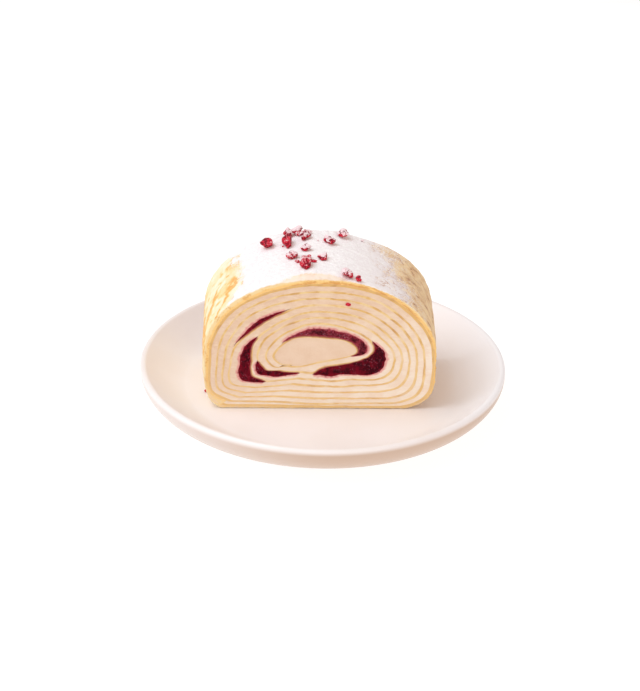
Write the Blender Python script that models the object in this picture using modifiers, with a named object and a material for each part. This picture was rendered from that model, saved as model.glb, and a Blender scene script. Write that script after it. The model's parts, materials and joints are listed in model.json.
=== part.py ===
"""A slice of crepe roll on its round coupe plate.

The slice is cut from a long roll: one crepe spread with cream and streaks of berry jam, rolled
up round a custard heart and wrapped in a thicker outer crepe. Every layer runs from one cut to
the other. The section is described on rays that leave the middle of the roll: on each ray the
layers are stacked inwards from the outline to the custard.
"""

import math
import random

import bmesh
import bpy
from mathutils import Matrix, Vector

MM = 0.001

# Plate
PLATE_RADIUS = 75.0
PLATE_HEIGHT = 17.5
PLATE_STEPS = 60
WELL_HEIGHT = 8.2
WELL_RADIUS = 56.0
INNER_WALL_BEND = 1.7
INNER_WALL_STEPS = 6
RIM_ROUND = 1.6
LIP_ANGLE = 133.0
RIM_STEPS = 6
OUTER_WALL_RADIUS = 53.0
OUTER_WALL_STEPS = 7
FOOT_OUTER = 50.0
FOOT_INNER = 45.5
FOOT_RISE = 2.0
FOOT_FLARE = 0.4
RECESS_HEIGHT = 3.0
RECESS_FLARE = 0.8

# Slice and its place on the plate
SLICE_DEPTH = 44.4
SLICE_TURN = math.radians(1.85)
SLICE_PLACE = (-1.3, -0.8)
REST_GAP = 0.2

# Outline of the cut: how far it reaches from the middle of the roll
MIDDLE = (-2.5, 26.0)
REACH_LEFT = 45.0
REACH_RIGHT = 49.1
REACH_TOP = 33.4
REACH_BELOW = {"left": 29.2, "right": 27.2}
BASE = 26.0
POWER = {"top left": 2.0, "top right": 1.95, "low left": 5.0, "low right": 5.2}

# Layers, in millimetres: values round the roll are (under, right, over, left)
SEAM = -147.3
TURNS = 8
CREPE = 1.0
WRAPPER = (0.35, 0.8, 2.3, 2.2)
CREAM = {
    1: (0.2, 1.9, 2.2, 2.05),
    2: (1.55, 2.05, 2.1, 2.05),
    3: (1.9, 2.05, 2.1, 1.95),
    4: (1.75, 2.05, 2.1, 2.9),
    5: (1.75, 2.05, 1.85, 1.55),
    6: (1.85, 3.0, 1.75, 2.55),
    7: (1.25, 1.8, 1.75, 2.35),
    8: (1.25, 1.8, 1.75, 2.35),
}
TUCK = 0.97
GAP = 0.1
END_GAP = 0.4
STRAIGHT = 1e-3

# Jam streaks: the turn they lie on, then their thickness at angles along that turn
JAM = {
    "jam_sliver": (3, ((116, 0), (134, 0.9), (150, 2.0), (163, 1.1), (177, 0))),
    "jam_crescent": (
        4,
        ((163, 0), (174, 2.2), (184, 4.1), (192, 5.0), (200, 5.2), (206, 3.9), (212, 1.6), (216, 0)),
    ),
    "jam_left_pocket": (6, ((-170, 0), (-164, 2.4), (-156, 3.9), (-147, 3.6), (-137, 1.9), (-120, 0))),
    "jam_right_pocket": (
        6,
        (
            (-97, 0), (-77, 2.6), (-55, 4.8), (-42, 4.9), (-33, 5.8), (-25, 9.0),
            (-17, 10.2), (-8, 7.8), (-1, 4.5), (6, 1.5), (13, 0),
        ),
    ),
    "jam_band": (
        7,
        ((-9, 0), (-4, 3.0), (10, 3.5), (40, 3.5), (80, 3.7), (105, 3.2), (125, 2.1), (150, 0.9), (168, 0)),
    ),
}
# Places where the cream is thicker than its turn's value, written in the same way
EXTRA_CREAM = (
    (7, ((-135, 0), (-125, 0.4), (-96, 2.0), (-77, 0.6), (-60, 0))),
    (7, ((-36, 0), (-28, 0.4), (-18, 1.8), (-9, 3.0), (-4, 0))),
    (1, ((-28, 0), (-8, 0.6), (20, 0.6), (42, 0))),
    (3, ((108, 0), (128, 0.9), (150, 0.9), (174, 0))),
    (4, ((168, 0), (186, 0.3), (200, 1.2), (214, 1.2), (236, 0))),
    (5, ((-64, 0), (-38, 0.5), (-16, 0))),
    (4, ((-64, 0), (-36, 0.9), (-14, 0))),
    (3, ((-64, 0), (-36, 0.9), (-14, 0))),
    (2, ((100, 0), (128, 0.5), (150, 0.4), (172, 0))),
    (3, ((90, 0), (120, 0.6), (155, 0.6), (180, 0))),
)
# Places where the outer crepe is thicker, by the angle
THICKER = ((-6, 0), (20, 1.0), (44, 0.1), (90, 0.8), (130, 1.2), (158, 0.5), (176, 0))
# Outline of the custard, with its inner crepe
HEART = (
    (-18.6, 24.8),
    (-15.0, 29.2),
    (-9.0, 32.2),
    (0.0, 31.9),
    (9.0, 30.8),
    (13.3, 28.0),
    (13.3, 25.2),
    (8.0, 23.3),
    (-1.0, 21.6),
    (-8.6, 19.5),
    (-14.2, 19.8),
    (-17.8, 21.8),
)
HEART_FINENESS = 12

# Rays: wide steps, and close ones where the base turns up into the sides
WIDE_STEP = 10.5
CLOSE_STEP = 4.5
CLOSE_ZONES = ((-165.0, -130.0), (-45.0, -12.0), (193.0, 213.0))

# Freeze-dried berry pieces: across, distance behind the front cut, length, width, height
BERRIES = (
    (-21.7, 33.4, 4.7, 5.4, 4.4),
    (-13.3, 39.4, 3.4, 3.8, 3.6),
    (-9.6, 41.0, 3.9, 3.6, 3.8),
    (-6.3, 35.2, 4.0, 4.2, 3.8),
    (-13.9, 31.0, 3.5, 6.0, 4.0),
    (-6.2, 25.4, 4.0, 3.2, 2.4),
    (-11.9, 19.2, 4.2, 3.6, 2.8),
    (-6.6, 10.4, 3.5, 6.8, 4.0),
    (0.1, 16.8, 3.2, 3.8, 2.6),
    (3.4, 32.0, 4.6, 4.4, 3.4),
    (8.9, 39.4, 4.3, 4.0, 3.2),
    (9.5, 3.1, 4.2, 4.2, 3.2),
    (14.0, 1.5, 1.9, 2.2, 2.2),
)
BERRY_LIFT = 0.2
BERRY_UNEVEN = 0.18
BERRY_SINK = 0.3
BERRY_TURN = 0.3
BERRY_SEED = 11

COLOURS = {
    "plate": (0.83, 0.75, 0.70),
    "outer_crepe": (0.78, 0.47, 0.20),
    "crepe": (0.80, 0.55, 0.28),
    "cream": (0.90, 0.76, 0.60),
    "custard": (0.84, 0.62, 0.40),
    "jam": (0.10, 0.006, 0.012),
    "berry": (0.42, 0.02, 0.035),
}
ROUGHNESS = {"plate": 0.25, "jam": 0.3}
USUAL_ROUGHNESS = 0.7


def clear_scene():
    for obj in list(bpy.data.objects):
        bpy.data.objects.remove(obj)


def new_collection(name):
    collection = bpy.data.collections.new(name)
    bpy.context.scene.collection.children.link(collection)
    return collection


def material(name):
    found = bpy.data.materials.get(name)
    if found:
        return found
    mat = bpy.data.materials.new(name)
    mat.use_nodes = True
    shader = mat.node_tree.nodes["Principled BSDF"]
    shader.inputs["Base Color"].default_value = (*COLOURS[name], 1.0)
    shader.inputs["Roughness"].default_value = ROUGHNESS.get(name, USUAL_ROUGHNESS)
    shader.inputs["Metallic"].default_value = 0.0
    return mat


def smooth(x):
    x = min(max(x, 0.0), 1.0)
    return x * x * (3.0 - 2.0 * x)


def mix(a, b, x):
    return a + (b - a) * x


def point_on_ray(angle, radius):
    turn = math.radians(angle)
    return Vector((MIDDLE[0] + radius * math.cos(turn), MIDDLE[1] + radius * math.sin(turn)))


def outline_radius(angle):
    """Domed top, upright sides, rounded lower corners and a flat base."""
    across, up = math.cos(math.radians(angle)), math.sin(math.radians(angle))
    side = "right" if across > 0 else "left"
    power = POWER[f"{'top' if up > 0 else 'low'} {side}"]
    width = REACH_RIGHT if across > 0 else REACH_LEFT
    height = REACH_TOP if up > 0 else REACH_BELOW[side]
    radius = ((abs(across) / width) ** power + (abs(up) / height) ** power) ** (-1.0 / power)
    return min(radius, BASE / -up) if up < 0 else radius


def curve_between(p0, p1, p2, p3, x):
    """Catmull-Rom curve from p1 to p2."""
    return 0.5 * (
        2.0 * p1 + (p2 - p0) * x + (2.0 * p0 - 5.0 * p1 + 4.0 * p2 - p3) * x**2
        + (3.0 * p1 - p0 - 3.0 * p2 + p3) * x**3
    )


def heart_radii():
    """Angle and radius of points along the custard's outline, sorted by angle."""
    points = [Vector(p) for p in HEART]
    found = []
    for i in range(len(points)):
        near = [points[(i + j) % len(points)] for j in (-1, 0, 1, 2)]
        for j in range(HEART_FINENESS):
            offset = curve_between(*near, j / HEART_FINENESS) - Vector(MIDDLE)
            found.append((math.degrees(math.atan2(offset.y, offset.x)), offset.length))
    return sorted(found)


HEART_RADII = heart_radii()


def heart_radius(angle):
    angle = (angle + 180.0) % 360.0 - 180.0
    first, last = HEART_RADII[0], HEART_RADII[-1]
    ring = [(last[0] - 360.0, last[1]), *HEART_RADII, (first[0] + 360.0, first[1])]
    for (a0, r0), (a1, r1) in zip(ring, ring[1:]):
        if a0 <= angle <= a1:
            return mix(r0, r1, (angle - a0) / max(a1 - a0, 1e-9))
    return first[1]


def around(values, angle):
    """A value between those under, right, over and left of the middle."""
    quarter = ((angle + 90.0) % 360.0) / 90.0
    i = int(quarter)
    return mix(values[i % 4], values[(i + 1) % 4], smooth(quarter - i))


def along(profile, angle):
    """A profile's value at an angle along its turn: a smooth curve, never below zero."""
    if not profile[0][0] < angle < profile[-1][0]:
        return 0.0

    def slope(j):
        before, after = profile[max(j - 1, 0)], profile[min(j + 1, len(profile) - 1)]
        return (after[1] - before[1]) / (after[0] - before[0])

    for j, ((a0, v0), (a1, v1)) in enumerate(zip(profile, profile[1:])):
        if a0 <= angle <= a1:
            span = a1 - a0
            x = (angle - a0) / span
            value = (
                (2 * x**3 - 3 * x**2 + 1) * v0
                + (x**3 - 2 * x**2 + x) * span * slope(j)
                + (3 * x**2 - 2 * x**3) * v1
                + (x**3 - x**2) * span * slope(j + 1)
            )
            return max(value, 0.0)
    return 0.0


def jam_on(turn, angle):
    return sum(along(profile, angle + 360.0 * (turn - t)) for t, profile in JAM.values())


def cream_on(level, turn, angle):
    """Cream outside a turn. Level is the turn, or between two turns where one tucks in."""
    low = int(level)
    plain = mix(around(CREAM[low], angle), around(CREAM[min(low + 1, TURNS)], angle), level - low)
    return plain + sum(along(profile, angle + 360.0 * (turn - t)) for t, profile in EXTRA_CREAM)


class Ray:
    """The layers met on one ray, stacked inwards and fitted between outline and custard."""

    def __init__(self, angle):
        self.angle = angle
        tuck = smooth(((angle - SEAM) / 360.0 - TUCK) / (1.0 - TUCK))
        self.outside = outline_radius(angle)
        wrapper = around(WRAPPER, angle) + along(THICKER, angle)
        self.jams = [0.0] + [jam_on(turn, angle) for turn in range(1, TURNS)]
        spaces = [0.0]
        for turn in range(1, TURNS):
            spaces.append(CREPE + cream_on(turn + tuck, turn, angle) + self.jams[turn])
        first = tuck * (CREPE + cream_on(1, 1, angle))
        total = wrapper + CREPE + first + sum(spaces[1:-1]) + (1.0 - tuck) * spaces[-1]
        self.slant = (self.outside - heart_radius(angle)) / total
        depth = wrapper + first
        self.depths = [depth]
        for space in spaces[1:]:
            depth += space
            self.depths.append(depth)

    def radius(self, depth):
        return self.outside - self.slant * depth

    def crepe_outer(self, turn):
        return self.radius(self.depths[turn])

    def crepe_inner(self, turn):
        return self.radius(self.depths[turn] + CREPE)

    def jam_outer(self, turn):
        return self.radius(self.depths[turn] - self.jams[turn])


def ray_angles():
    """Angles of one turn's rays, from the seam round to the seam again."""
    angles = [SEAM]
    while angles[-1] < SEAM + 360.0 - CLOSE_STEP:
        close = any(a <= angles[-1] < b for a, b in CLOSE_ZONES)
        angles.append(angles[-1] + (CLOSE_STEP if close else WIDE_STEP))
    angles[-1] = SEAM + 360.0
    return angles


def rays():
    """The rays of one turn, the last of them just short of the seam."""
    return [Ray(a) for a in ray_angles()[:-1]], Ray(SEAM + 360.0 - END_GAP)


def spiral(first_turn, last_turn, radius_of):
    """Points along one face of a sheet that is rolled up: radius_of(ray, turn) gives the face."""
    ring, last = rays()
    points = []
    for turn in range(first_turn, last_turn + 1):
        points += [point_on_ray(ray.angle, radius_of(ray, turn)) for ray in ring]
    points.append(point_on_ray(last.angle, radius_of(last, last_turn)))
    return points


def without_straight_points(outline):
    """The outline less the points between two others on a straight stretch, such as the base."""
    before, after = [outline[-1], *outline[:-1]], [*outline[1:], outline[0]]
    return [
        here
        for last, here, following in zip(before, outline, after)
        if abs((here - last).cross(following - last)) > STRAIGHT
    ]


def slab(name, outline, collection, parent, look):
    """A flat outline of the cut made as deep as the slice."""
    corners = without_straight_points(outline)
    curve = bpy.data.curves.new(name, "CURVE")
    curve.dimensions = "2D"
    curve.fill_mode = "BOTH"
    curve.extrude = 0.5 * SLICE_DEPTH * MM
    spline = curve.splines.new("POLY")
    spline.points.add(len(corners) - 1)
    for spot, point in zip(spline.points, corners):
        spot.co = (point.x * MM, point.y * MM, 0.0, 1.0)
    spline.use_cyclic_u = True
    obj = bpy.data.objects.new(name, curve)
    obj.rotation_euler = (math.radians(90.0), 0.0, 0.0)
    obj.parent = parent
    curve.materials.append(material(look))
    collection.objects.link(obj)
    return obj


def build_outer_crepe(collection, parent):
    outer = spiral(0, 0, lambda ray, turn: ray.outside)
    inner = spiral(0, 0, lambda ray, turn: ray.crepe_outer(0) + GAP)
    slab("outer_crepe", outer + inner[::-1], collection, parent, "outer_crepe")


def build_crepe(collection, parent):
    outer = spiral(0, TURNS - 1, lambda ray, turn: ray.crepe_outer(turn))
    inner = spiral(0, TURNS - 1, lambda ray, turn: ray.crepe_inner(turn))
    slab("crepe", outer + inner[::-1], collection, parent, "crepe")


def build_cream(collection, parent):
    outer = spiral(1, TURNS - 1, lambda ray, turn: ray.crepe_inner(turn - 1) - GAP)
    inner = spiral(1, TURNS - 1, lambda ray, turn: ray.jam_outer(turn) + GAP)
    slab("cream", outer + inner[::-1], collection, parent, "cream")


def jam_stations(name):
    """On each ray near a streak: a point on the crepe under it, one on its top, and its room."""
    turn, profile = JAM[name]
    start, end = profile[0][0] - WIDE_STEP, profile[-1][0] + WIDE_STEP
    stations = []
    for angle in sorted(a + 360.0 * n for n in (-1, 0, 1) for a in ray_angles()[:-1]):
        if not start < angle < end:
            continue
        turns_on = math.floor((angle - SEAM) / 360.0)
        ray = Ray(angle - 360.0 * turns_on)
        own_turn = turn + turns_on
        under = point_on_ray(ray.angle, ray.crepe_outer(own_turn) + GAP)
        over = point_on_ray(ray.angle, ray.jam_outer(own_turn))
        stations.append((under, over, ray.jams[own_turn] * ray.slant - GAP))
    return stations


def build_jam(name, collection, parent):
    """A streak of jam between the crepe it was spread on and the cream over it."""
    outer, inner = [], []
    stations = jam_stations(name)
    for here, following in zip(stations, stations[1:]):
        if here[2] > 0.0:
            inner.append(here[0])
            outer.append(here[1])
        if (here[2] > 0.0) != (following[2] > 0.0):
            tip = here[0].lerp(following[0], here[2] / (here[2] - following[2]))
            outer.append(tip)
    slab(name, outer + inner[::-1], collection, parent, "jam")


def build_custard(collection, parent):
    inside = spiral(TURNS - 1, TURNS - 1, lambda ray, turn: ray.crepe_inner(turn) - GAP)
    slab("custard", inside, collection, parent, "custard")


def top_of_slice(across):
    """Height and slope of the dome above a place across the slice."""
    right, left = 1.0, 179.0
    for _ in range(40):
        angle = 0.5 * (right + left)
        if point_on_ray(angle, outline_radius(angle)).x > across:
            right = angle
        else:
            left = angle
    here = point_on_ray(right, outline_radius(right))
    beside = point_on_ray(right - 1.0, outline_radius(right - 1.0))
    return here.y, math.atan2(beside.y - here.y, beside.x - here.x)


def build_berry(index, place, rng, collection, parent):
    """A broken, angular piece with a flat underside, lying on the dome."""
    across, behind, length, width, height = place
    mesh = bpy.data.meshes.new(f"berry_{index:02d}")
    shape = bmesh.new()
    bmesh.ops.create_icosphere(shape, subdivisions=2, radius=0.5)
    sink = BERRY_SINK * height
    size = Vector((length, width, height + sink))
    for vert in shape.verts:
        vert.co = vert.co * size * rng.uniform(1.0 - BERRY_UNEVEN, 1.0 + BERRY_UNEVEN)
        vert.co.z = max(vert.co.z, -sink) + sink + BERRY_LIFT
    rise, slope = top_of_slice(across)
    spot = Matrix.Translation(Vector((across, behind - 0.5 * SLICE_DEPTH, rise)))
    turn = rng.uniform(-BERRY_TURN, BERRY_TURN)
    lean = Matrix.Rotation(-slope, 4, "Y") @ Matrix.Rotation(turn, 4, "Z")
    bmesh.ops.transform(shape, matrix=Matrix.Scale(MM, 4) @ spot @ lean, verts=shape.verts)
    bmesh.ops.recalc_face_normals(shape, faces=shape.faces)
    shape.to_mesh(mesh)
    shape.free()
    mesh.materials.append(material("berry"))
    obj = bpy.data.objects.new(mesh.name, mesh)
    obj.parent = parent
    collection.objects.link(obj)


def arc(centre, radii, start, end, steps):
    """Points of an elliptical arc between two angles in degrees."""
    angles = [math.radians(mix(start, end, i / steps)) for i in range(steps + 1)]
    return [
        (centre[0] + radii[0] * math.cos(a), centre[1] + radii[1] * math.sin(a)) for a in angles
    ]


def plate_profile():
    """Radius and height from the middle of the well, over the rim and down to the foot."""
    rim_height = PLATE_HEIGHT - RIM_ROUND
    rim = (PLATE_RADIUS - RIM_ROUND, rim_height)
    lip = arc(rim, (RIM_ROUND, RIM_ROUND), LIP_ANGLE, 0.0, RIM_STEPS)
    points = [(0.0, WELL_HEIGHT)]
    for i in range(INNER_WALL_STEPS):
        x = i / INNER_WALL_STEPS
        height = mix(WELL_HEIGHT, lip[0][1], x**INNER_WALL_BEND)
        points.append((mix(WELL_RADIUS, lip[0][0], x), height))
    points += lip
    wall = (PLATE_RADIUS - OUTER_WALL_RADIUS, rim_height - FOOT_RISE)
    points += arc((OUTER_WALL_RADIUS, rim_height), wall, 0.0, -90.0, OUTER_WALL_STEPS)[1:]
    points += [(FOOT_OUTER + FOOT_FLARE, FOOT_RISE), (FOOT_OUTER, 0.0), (FOOT_INNER, 0.0)]
    points += [(FOOT_INNER - RECESS_FLARE, RECESS_HEIGHT), (0.0, RECESS_HEIGHT)]
    return points


def build_plate(collection):
    profile = plate_profile()
    mesh = bpy.data.meshes.new("plate")
    shape = bmesh.new()
    verts = [shape.verts.new((r * MM, 0.0, z * MM)) for r, z in profile]
    for a, b in zip(verts, verts[1:]):
        shape.edges.new((a, b))
    shape.to_mesh(mesh)
    shape.free()
    mesh.materials.append(material("plate"))
    obj = bpy.data.objects.new("plate", mesh)
    screw = obj.modifiers.new("turned", "SCREW")
    screw.steps = PLATE_STEPS
    screw.render_steps = PLATE_STEPS
    screw.use_merge_vertices = True
    screw.merge_threshold = 0.01 * MM
    screw.use_smooth_shade = True
    collection.objects.link(obj)


def build_slice(collection):
    parent = bpy.data.objects.new("slice", None)
    parent.location = (*(v * MM for v in SLICE_PLACE), (WELL_HEIGHT + REST_GAP) * MM)
    parent.rotation_euler = (0.0, 0.0, SLICE_TURN)
    collection.objects.link(parent)
    build_outer_crepe(collection, parent)
    build_crepe(collection, parent)
    build_cream(collection, parent)
    for name in JAM:
        build_jam(name, collection, parent)
    build_custard(collection, parent)
    rng = random.Random(BERRY_SEED)
    for index, place in enumerate(BERRIES, 1):
        build_berry(index, place, rng, collection, parent)


def main():
    clear_scene()
    collection = new_collection("crepe_roll_slice")
    build_plate(collection)
    build_slice(collection)


main()
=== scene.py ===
"""Looks of a rolled crepe slice on its coupe plate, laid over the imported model.

Every layer of the roll, the skin with its sugar, the berry pieces and the plate are detailed
meshes in the places that the frame gives. The roll's sizes are in millimetres, heights and
distances across are measured on the cut, and the meshes are in metres.
"""

import json
import logging
import math
import random
from collections.abc import Callable, Mapping, Sequence
from dataclasses import dataclass
from enum import Enum

import bmesh
import bpy
import numpy as np
from mathutils import Matrix, Vector, noise

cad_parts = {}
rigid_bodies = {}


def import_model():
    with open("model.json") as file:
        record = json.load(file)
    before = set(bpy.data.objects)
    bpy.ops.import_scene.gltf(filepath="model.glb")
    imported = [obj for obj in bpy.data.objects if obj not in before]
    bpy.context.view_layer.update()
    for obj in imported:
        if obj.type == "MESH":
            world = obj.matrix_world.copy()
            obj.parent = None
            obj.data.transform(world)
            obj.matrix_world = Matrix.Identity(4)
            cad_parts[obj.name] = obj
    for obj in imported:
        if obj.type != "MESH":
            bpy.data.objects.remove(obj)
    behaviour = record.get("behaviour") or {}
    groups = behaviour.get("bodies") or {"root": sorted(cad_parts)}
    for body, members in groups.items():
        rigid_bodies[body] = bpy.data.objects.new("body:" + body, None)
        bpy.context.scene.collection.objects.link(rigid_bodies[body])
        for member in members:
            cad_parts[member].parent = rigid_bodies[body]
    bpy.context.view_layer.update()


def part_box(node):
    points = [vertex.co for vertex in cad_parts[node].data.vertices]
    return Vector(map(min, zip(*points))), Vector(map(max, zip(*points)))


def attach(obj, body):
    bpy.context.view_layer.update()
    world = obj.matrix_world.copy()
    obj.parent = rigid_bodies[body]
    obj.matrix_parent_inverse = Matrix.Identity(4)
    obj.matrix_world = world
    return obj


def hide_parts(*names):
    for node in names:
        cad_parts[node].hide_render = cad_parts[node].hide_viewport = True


LOG = logging.getLogger("crepe_roll")
MM = 0.001

Colour = tuple[float, float, float]
Quarters = tuple[float, float, float, float]
Profile = tuple[tuple[float, float], ...]


def screen(red: int, green: int, blue: int) -> Colour:
    """Linear colour of a screen colour.

    Args:
        red: its red, from 0 to 255.
        green: its green.
        blue: its blue.

    Returns:
        The three parts, from 0 to 1.
    """
    linear = [
        v / 12.92 if v <= 0.04045 else ((v + 0.055) / 1.055) ** 2.4
        for v in (red / 255.0, green / 255.0, blue / 255.0)
    ]
    return (linear[0], linear[1], linear[2])


def mix(a: float, b: float, x: float) -> float:
    """The value a share x of the way from a to b."""
    return a + (b - a) * x


def smooth(x: float, low: float = 0.0, high: float = 1.0) -> float:
    """Soft step from 0 at low to 1 at high."""
    x = min(max((x - low) / (high - low), 0.0), 1.0)
    return x * x * (3.0 - 2.0 * x)


def rough(point: Sequence[float], size: float, seed: float = 0.0) -> float:
    """Smooth unevenness between about -1 and 1.

    Args:
        point: place, in millimetres.
        size: size of its bumps, in millimetres.
        seed: keeps one unevenness apart from another.

    Returns:
        The value at the point.
    """
    return noise.noise(Vector(point) / size + Vector((seed * 7.13, seed * 3.71, seed * 11.9)))


# ---------------------------------------------------------------- shader graph


class Signal:
    """A shader value; arithmetic on it adds Math nodes to its graph."""

    def __init__(self, graph: "Graph", socket: bpy.types.NodeSocket) -> None:
        """Wraps a socket of the graph."""
        self.graph = graph
        self.socket = socket

    def maths(self, operation: str, first: "Value", second: "Value") -> "Signal":
        """The result of a Math node on two values."""
        return self.graph.node("ShaderNodeMath", {"operation": operation}, {0: first, 1: second})

    def __add__(self, other: "Value") -> "Signal":
        """Sum."""
        return self.maths("ADD", self, other)

    __radd__ = __add__

    def __sub__(self, other: "Value") -> "Signal":
        """Difference."""
        return self.maths("SUBTRACT", self, other)

    def __rsub__(self, other: "Value") -> "Signal":
        """Difference from a plain number."""
        return self.maths("SUBTRACT", other, self)

    def __mul__(self, other: "Value") -> "Signal":
        """Product."""
        return self.maths("MULTIPLY", self, other)

    __rmul__ = __mul__

    def __abs__(self) -> "Signal":
        """Absolute value."""
        return self.maths("ABSOLUTE", self, 0.0)

    def step(self, low: float, high: float) -> "Signal":
        """Soft step of this value, from 0 at low to 1 at high.

        Args:
            low: value where the step starts; above high for a falling step.
            high: value where it ends.

        Returns:
            The step, between 0 and 1.
        """
        settings = {"interpolation_type": "SMOOTHSTEP"}
        if low > high:
            return 1.0 - self.step(high, low)
        return self.graph.node("ShaderNodeMapRange", settings, {0: self, 1: low, 2: high})


Value = Signal | float | Colour


class Graph:
    """The nodes of one finish, ending in a Principled shader."""

    def __init__(self, name: str) -> None:
        """Starts a material of that name."""
        self.material = bpy.data.materials.new(name)
        self.material.use_nodes = True
        self.tree = self.material.node_tree
        self.shader = self.tree.nodes["Principled BSDF"]

    def put(self, socket: bpy.types.NodeSocket, value: Value) -> None:
        """Links a signal to a socket, or sets the socket's own value.

        Args:
            socket: the socket.
            value: signal, number or colour.
        """
        if isinstance(value, Signal):
            self.tree.links.new(value.socket, socket)
        elif socket.type == "RGBA":
            socket.default_value = (*value, 1.0)
        else:
            socket.default_value = value

    def node(
        self,
        kind: str,
        settings: Mapping[str, object] | None = None,
        inputs: Mapping[int | str, Value] | None = None,
        output: int | str = 0,
    ) -> Signal:
        """Adds a node.

        Args:
            kind: node type.
            settings: properties, set before its sockets.
            inputs: values or signals for its sockets.
            output: socket that is read.

        Returns:
            The signal of that output.
        """
        made = self.tree.nodes.new(kind)
        for name, value in (settings or {}).items():
            setattr(made, name, value)
        for key, value in (inputs or {}).items():
            self.put(made.inputs[key], value)
        return Signal(self, made.outputs[output])

    def shade(self, **sockets: Value) -> None:
        """Sets the Principled shader's sockets, named with underscores for spaces."""
        for name, value in sockets.items():
            self.put(self.shader.inputs[name.replace("_", " ")], value)

    def place(self) -> Signal:
        """The object's own coordinates, in millimetres."""
        at = self.node("ShaderNodeTexCoord", output="Object")
        return self.node("ShaderNodeVectorMath", {"operation": "SCALE"}, {0: at, "Scale": 1.0 / MM})

    def part(self, at: Signal, axis: int) -> Signal:
        """One part of a set of coordinates: 0 across, 1 back or 2 up."""
        return self.node("ShaderNodeSeparateXYZ", inputs={0: at}, output=axis)

    def attribute(self, name: str, output: str = "Fac") -> Signal:
        """A value that the mesh carries."""
        return self.node("ShaderNodeAttribute", {"attribute_name": name}, output=output)

    def stretch(self, at: Signal, factors: Colour) -> Signal:
        """Coordinates scaled along each axis."""
        return self.node("ShaderNodeMapping", {"vector_type": "POINT"}, {0: at, 3: factors})

    def noise(self, at: Signal, size: float, detail: float = 2.0, twist: float = 0.0) -> Signal:
        """Soft noise with bumps of a size in millimetres, mostly between 0.3 and 0.7."""
        inputs = {"Vector": at, "Scale": 1.0 / size, "Detail": detail, "Distortion": twist}
        return self.node("ShaderNodeTexNoise", inputs=inputs)

    def grains(self, at: Signal, size: float) -> Signal:
        """Distance to the nearest of scattered points about a size apart, as a share of it."""
        return self.node("ShaderNodeTexVoronoi", inputs={"Vector": at, "Scale": 1.0 / size})

    def blend(self, share: Value, first: Value, second: Value) -> Signal:
        """Colour between two colours, by a share from 0 to 1."""
        inputs = {0: share, 6: first, 7: second}
        return self.node("ShaderNodeMix", {"data_type": "RGBA"}, inputs, 2)

    def layers(self, colour: Value, *upper: tuple[Value, Value]) -> Value:
        """A colour with others laid over it in turn, each given by its share and itself."""
        for share, over in upper:
            colour = self.blend(share, colour, over)
        return colour

    def dress(
        self, colour: Value, roughness: Value, gloss: float, height: Signal, relief: float = 0.8
    ) -> None:
        """Sets what every finish has.

        Args:
            colour: its colour.
            roughness: its roughness.
            gloss: its specular level.
            height: height of its fine bumps, in millimetres.
            relief: how strongly they show.
        """
        inputs = {"Height": height, "Distance": MM, "Strength": relief}
        normal = self.node("ShaderNodeBump", inputs=inputs)
        self.shade(Base_Color=colour, Roughness=roughness, Specular_IOR_Level=gloss, Normal=normal)


class Finish:
    """A surface's material, made when it is first used."""

    name: str

    def paint(self, graph: Graph) -> None:
        """Lays the finish's nodes in the graph.

        Args:
            graph: the material's nodes.
        """
        raise NotImplementedError

    def material(self) -> bpy.types.Material:
        """The finish's material."""
        found = bpy.data.materials.get(self.name)
        if found is None:
            graph = Graph(self.name)
            self.paint(graph)
            found = graph.material
        return found


@dataclass(frozen=True)
class Glaze(Finish):
    """Warm, pinkish white glaze with a soft gloss, painted shade darkening the outside of the plate and
    painted light on its right side.
    """

    name: str = "glaze"
    body: Colour = screen(247, 239, 238)
    cloud: Colour = screen(245, 236, 233)
    # painted light: a paler, bluer tint that lightens the right side of the plate
    painted_light_right: Colour = screen(250, 248, 252)
    # painted shade: the darker, warmer colour of the plate's outside below the rim
    outside: Colour = screen(206, 178, 158)

    def paint(self, graph: Graph) -> None:
        """Faintly clouded colour under a clear, slightly wavy surface.

        Args:
            graph: the material's nodes.
        """
        at = graph.place()
        cloud = graph.noise(at, 28.0, 3.0)
        colour = graph.layers(
            self.body,
            (cloud.step(0.35, 0.7), self.cloud),
            # painted light on the right side of the plate
            (graph.part(at, 0).step(40.0, 76.0), self.painted_light_right),
            # painted shade on the outside of the plate
            (graph.attribute("outside"), self.outside),
        )
        waves = cloud * 0.1 + graph.noise(at, 0.7) * 0.004
        graph.dress(colour, 0.3 + 0.12 * cloud, 0.35, waves, 0.6)
        graph.shade(Coat_Weight=0.2, Coat_Roughness=0.18)


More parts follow.
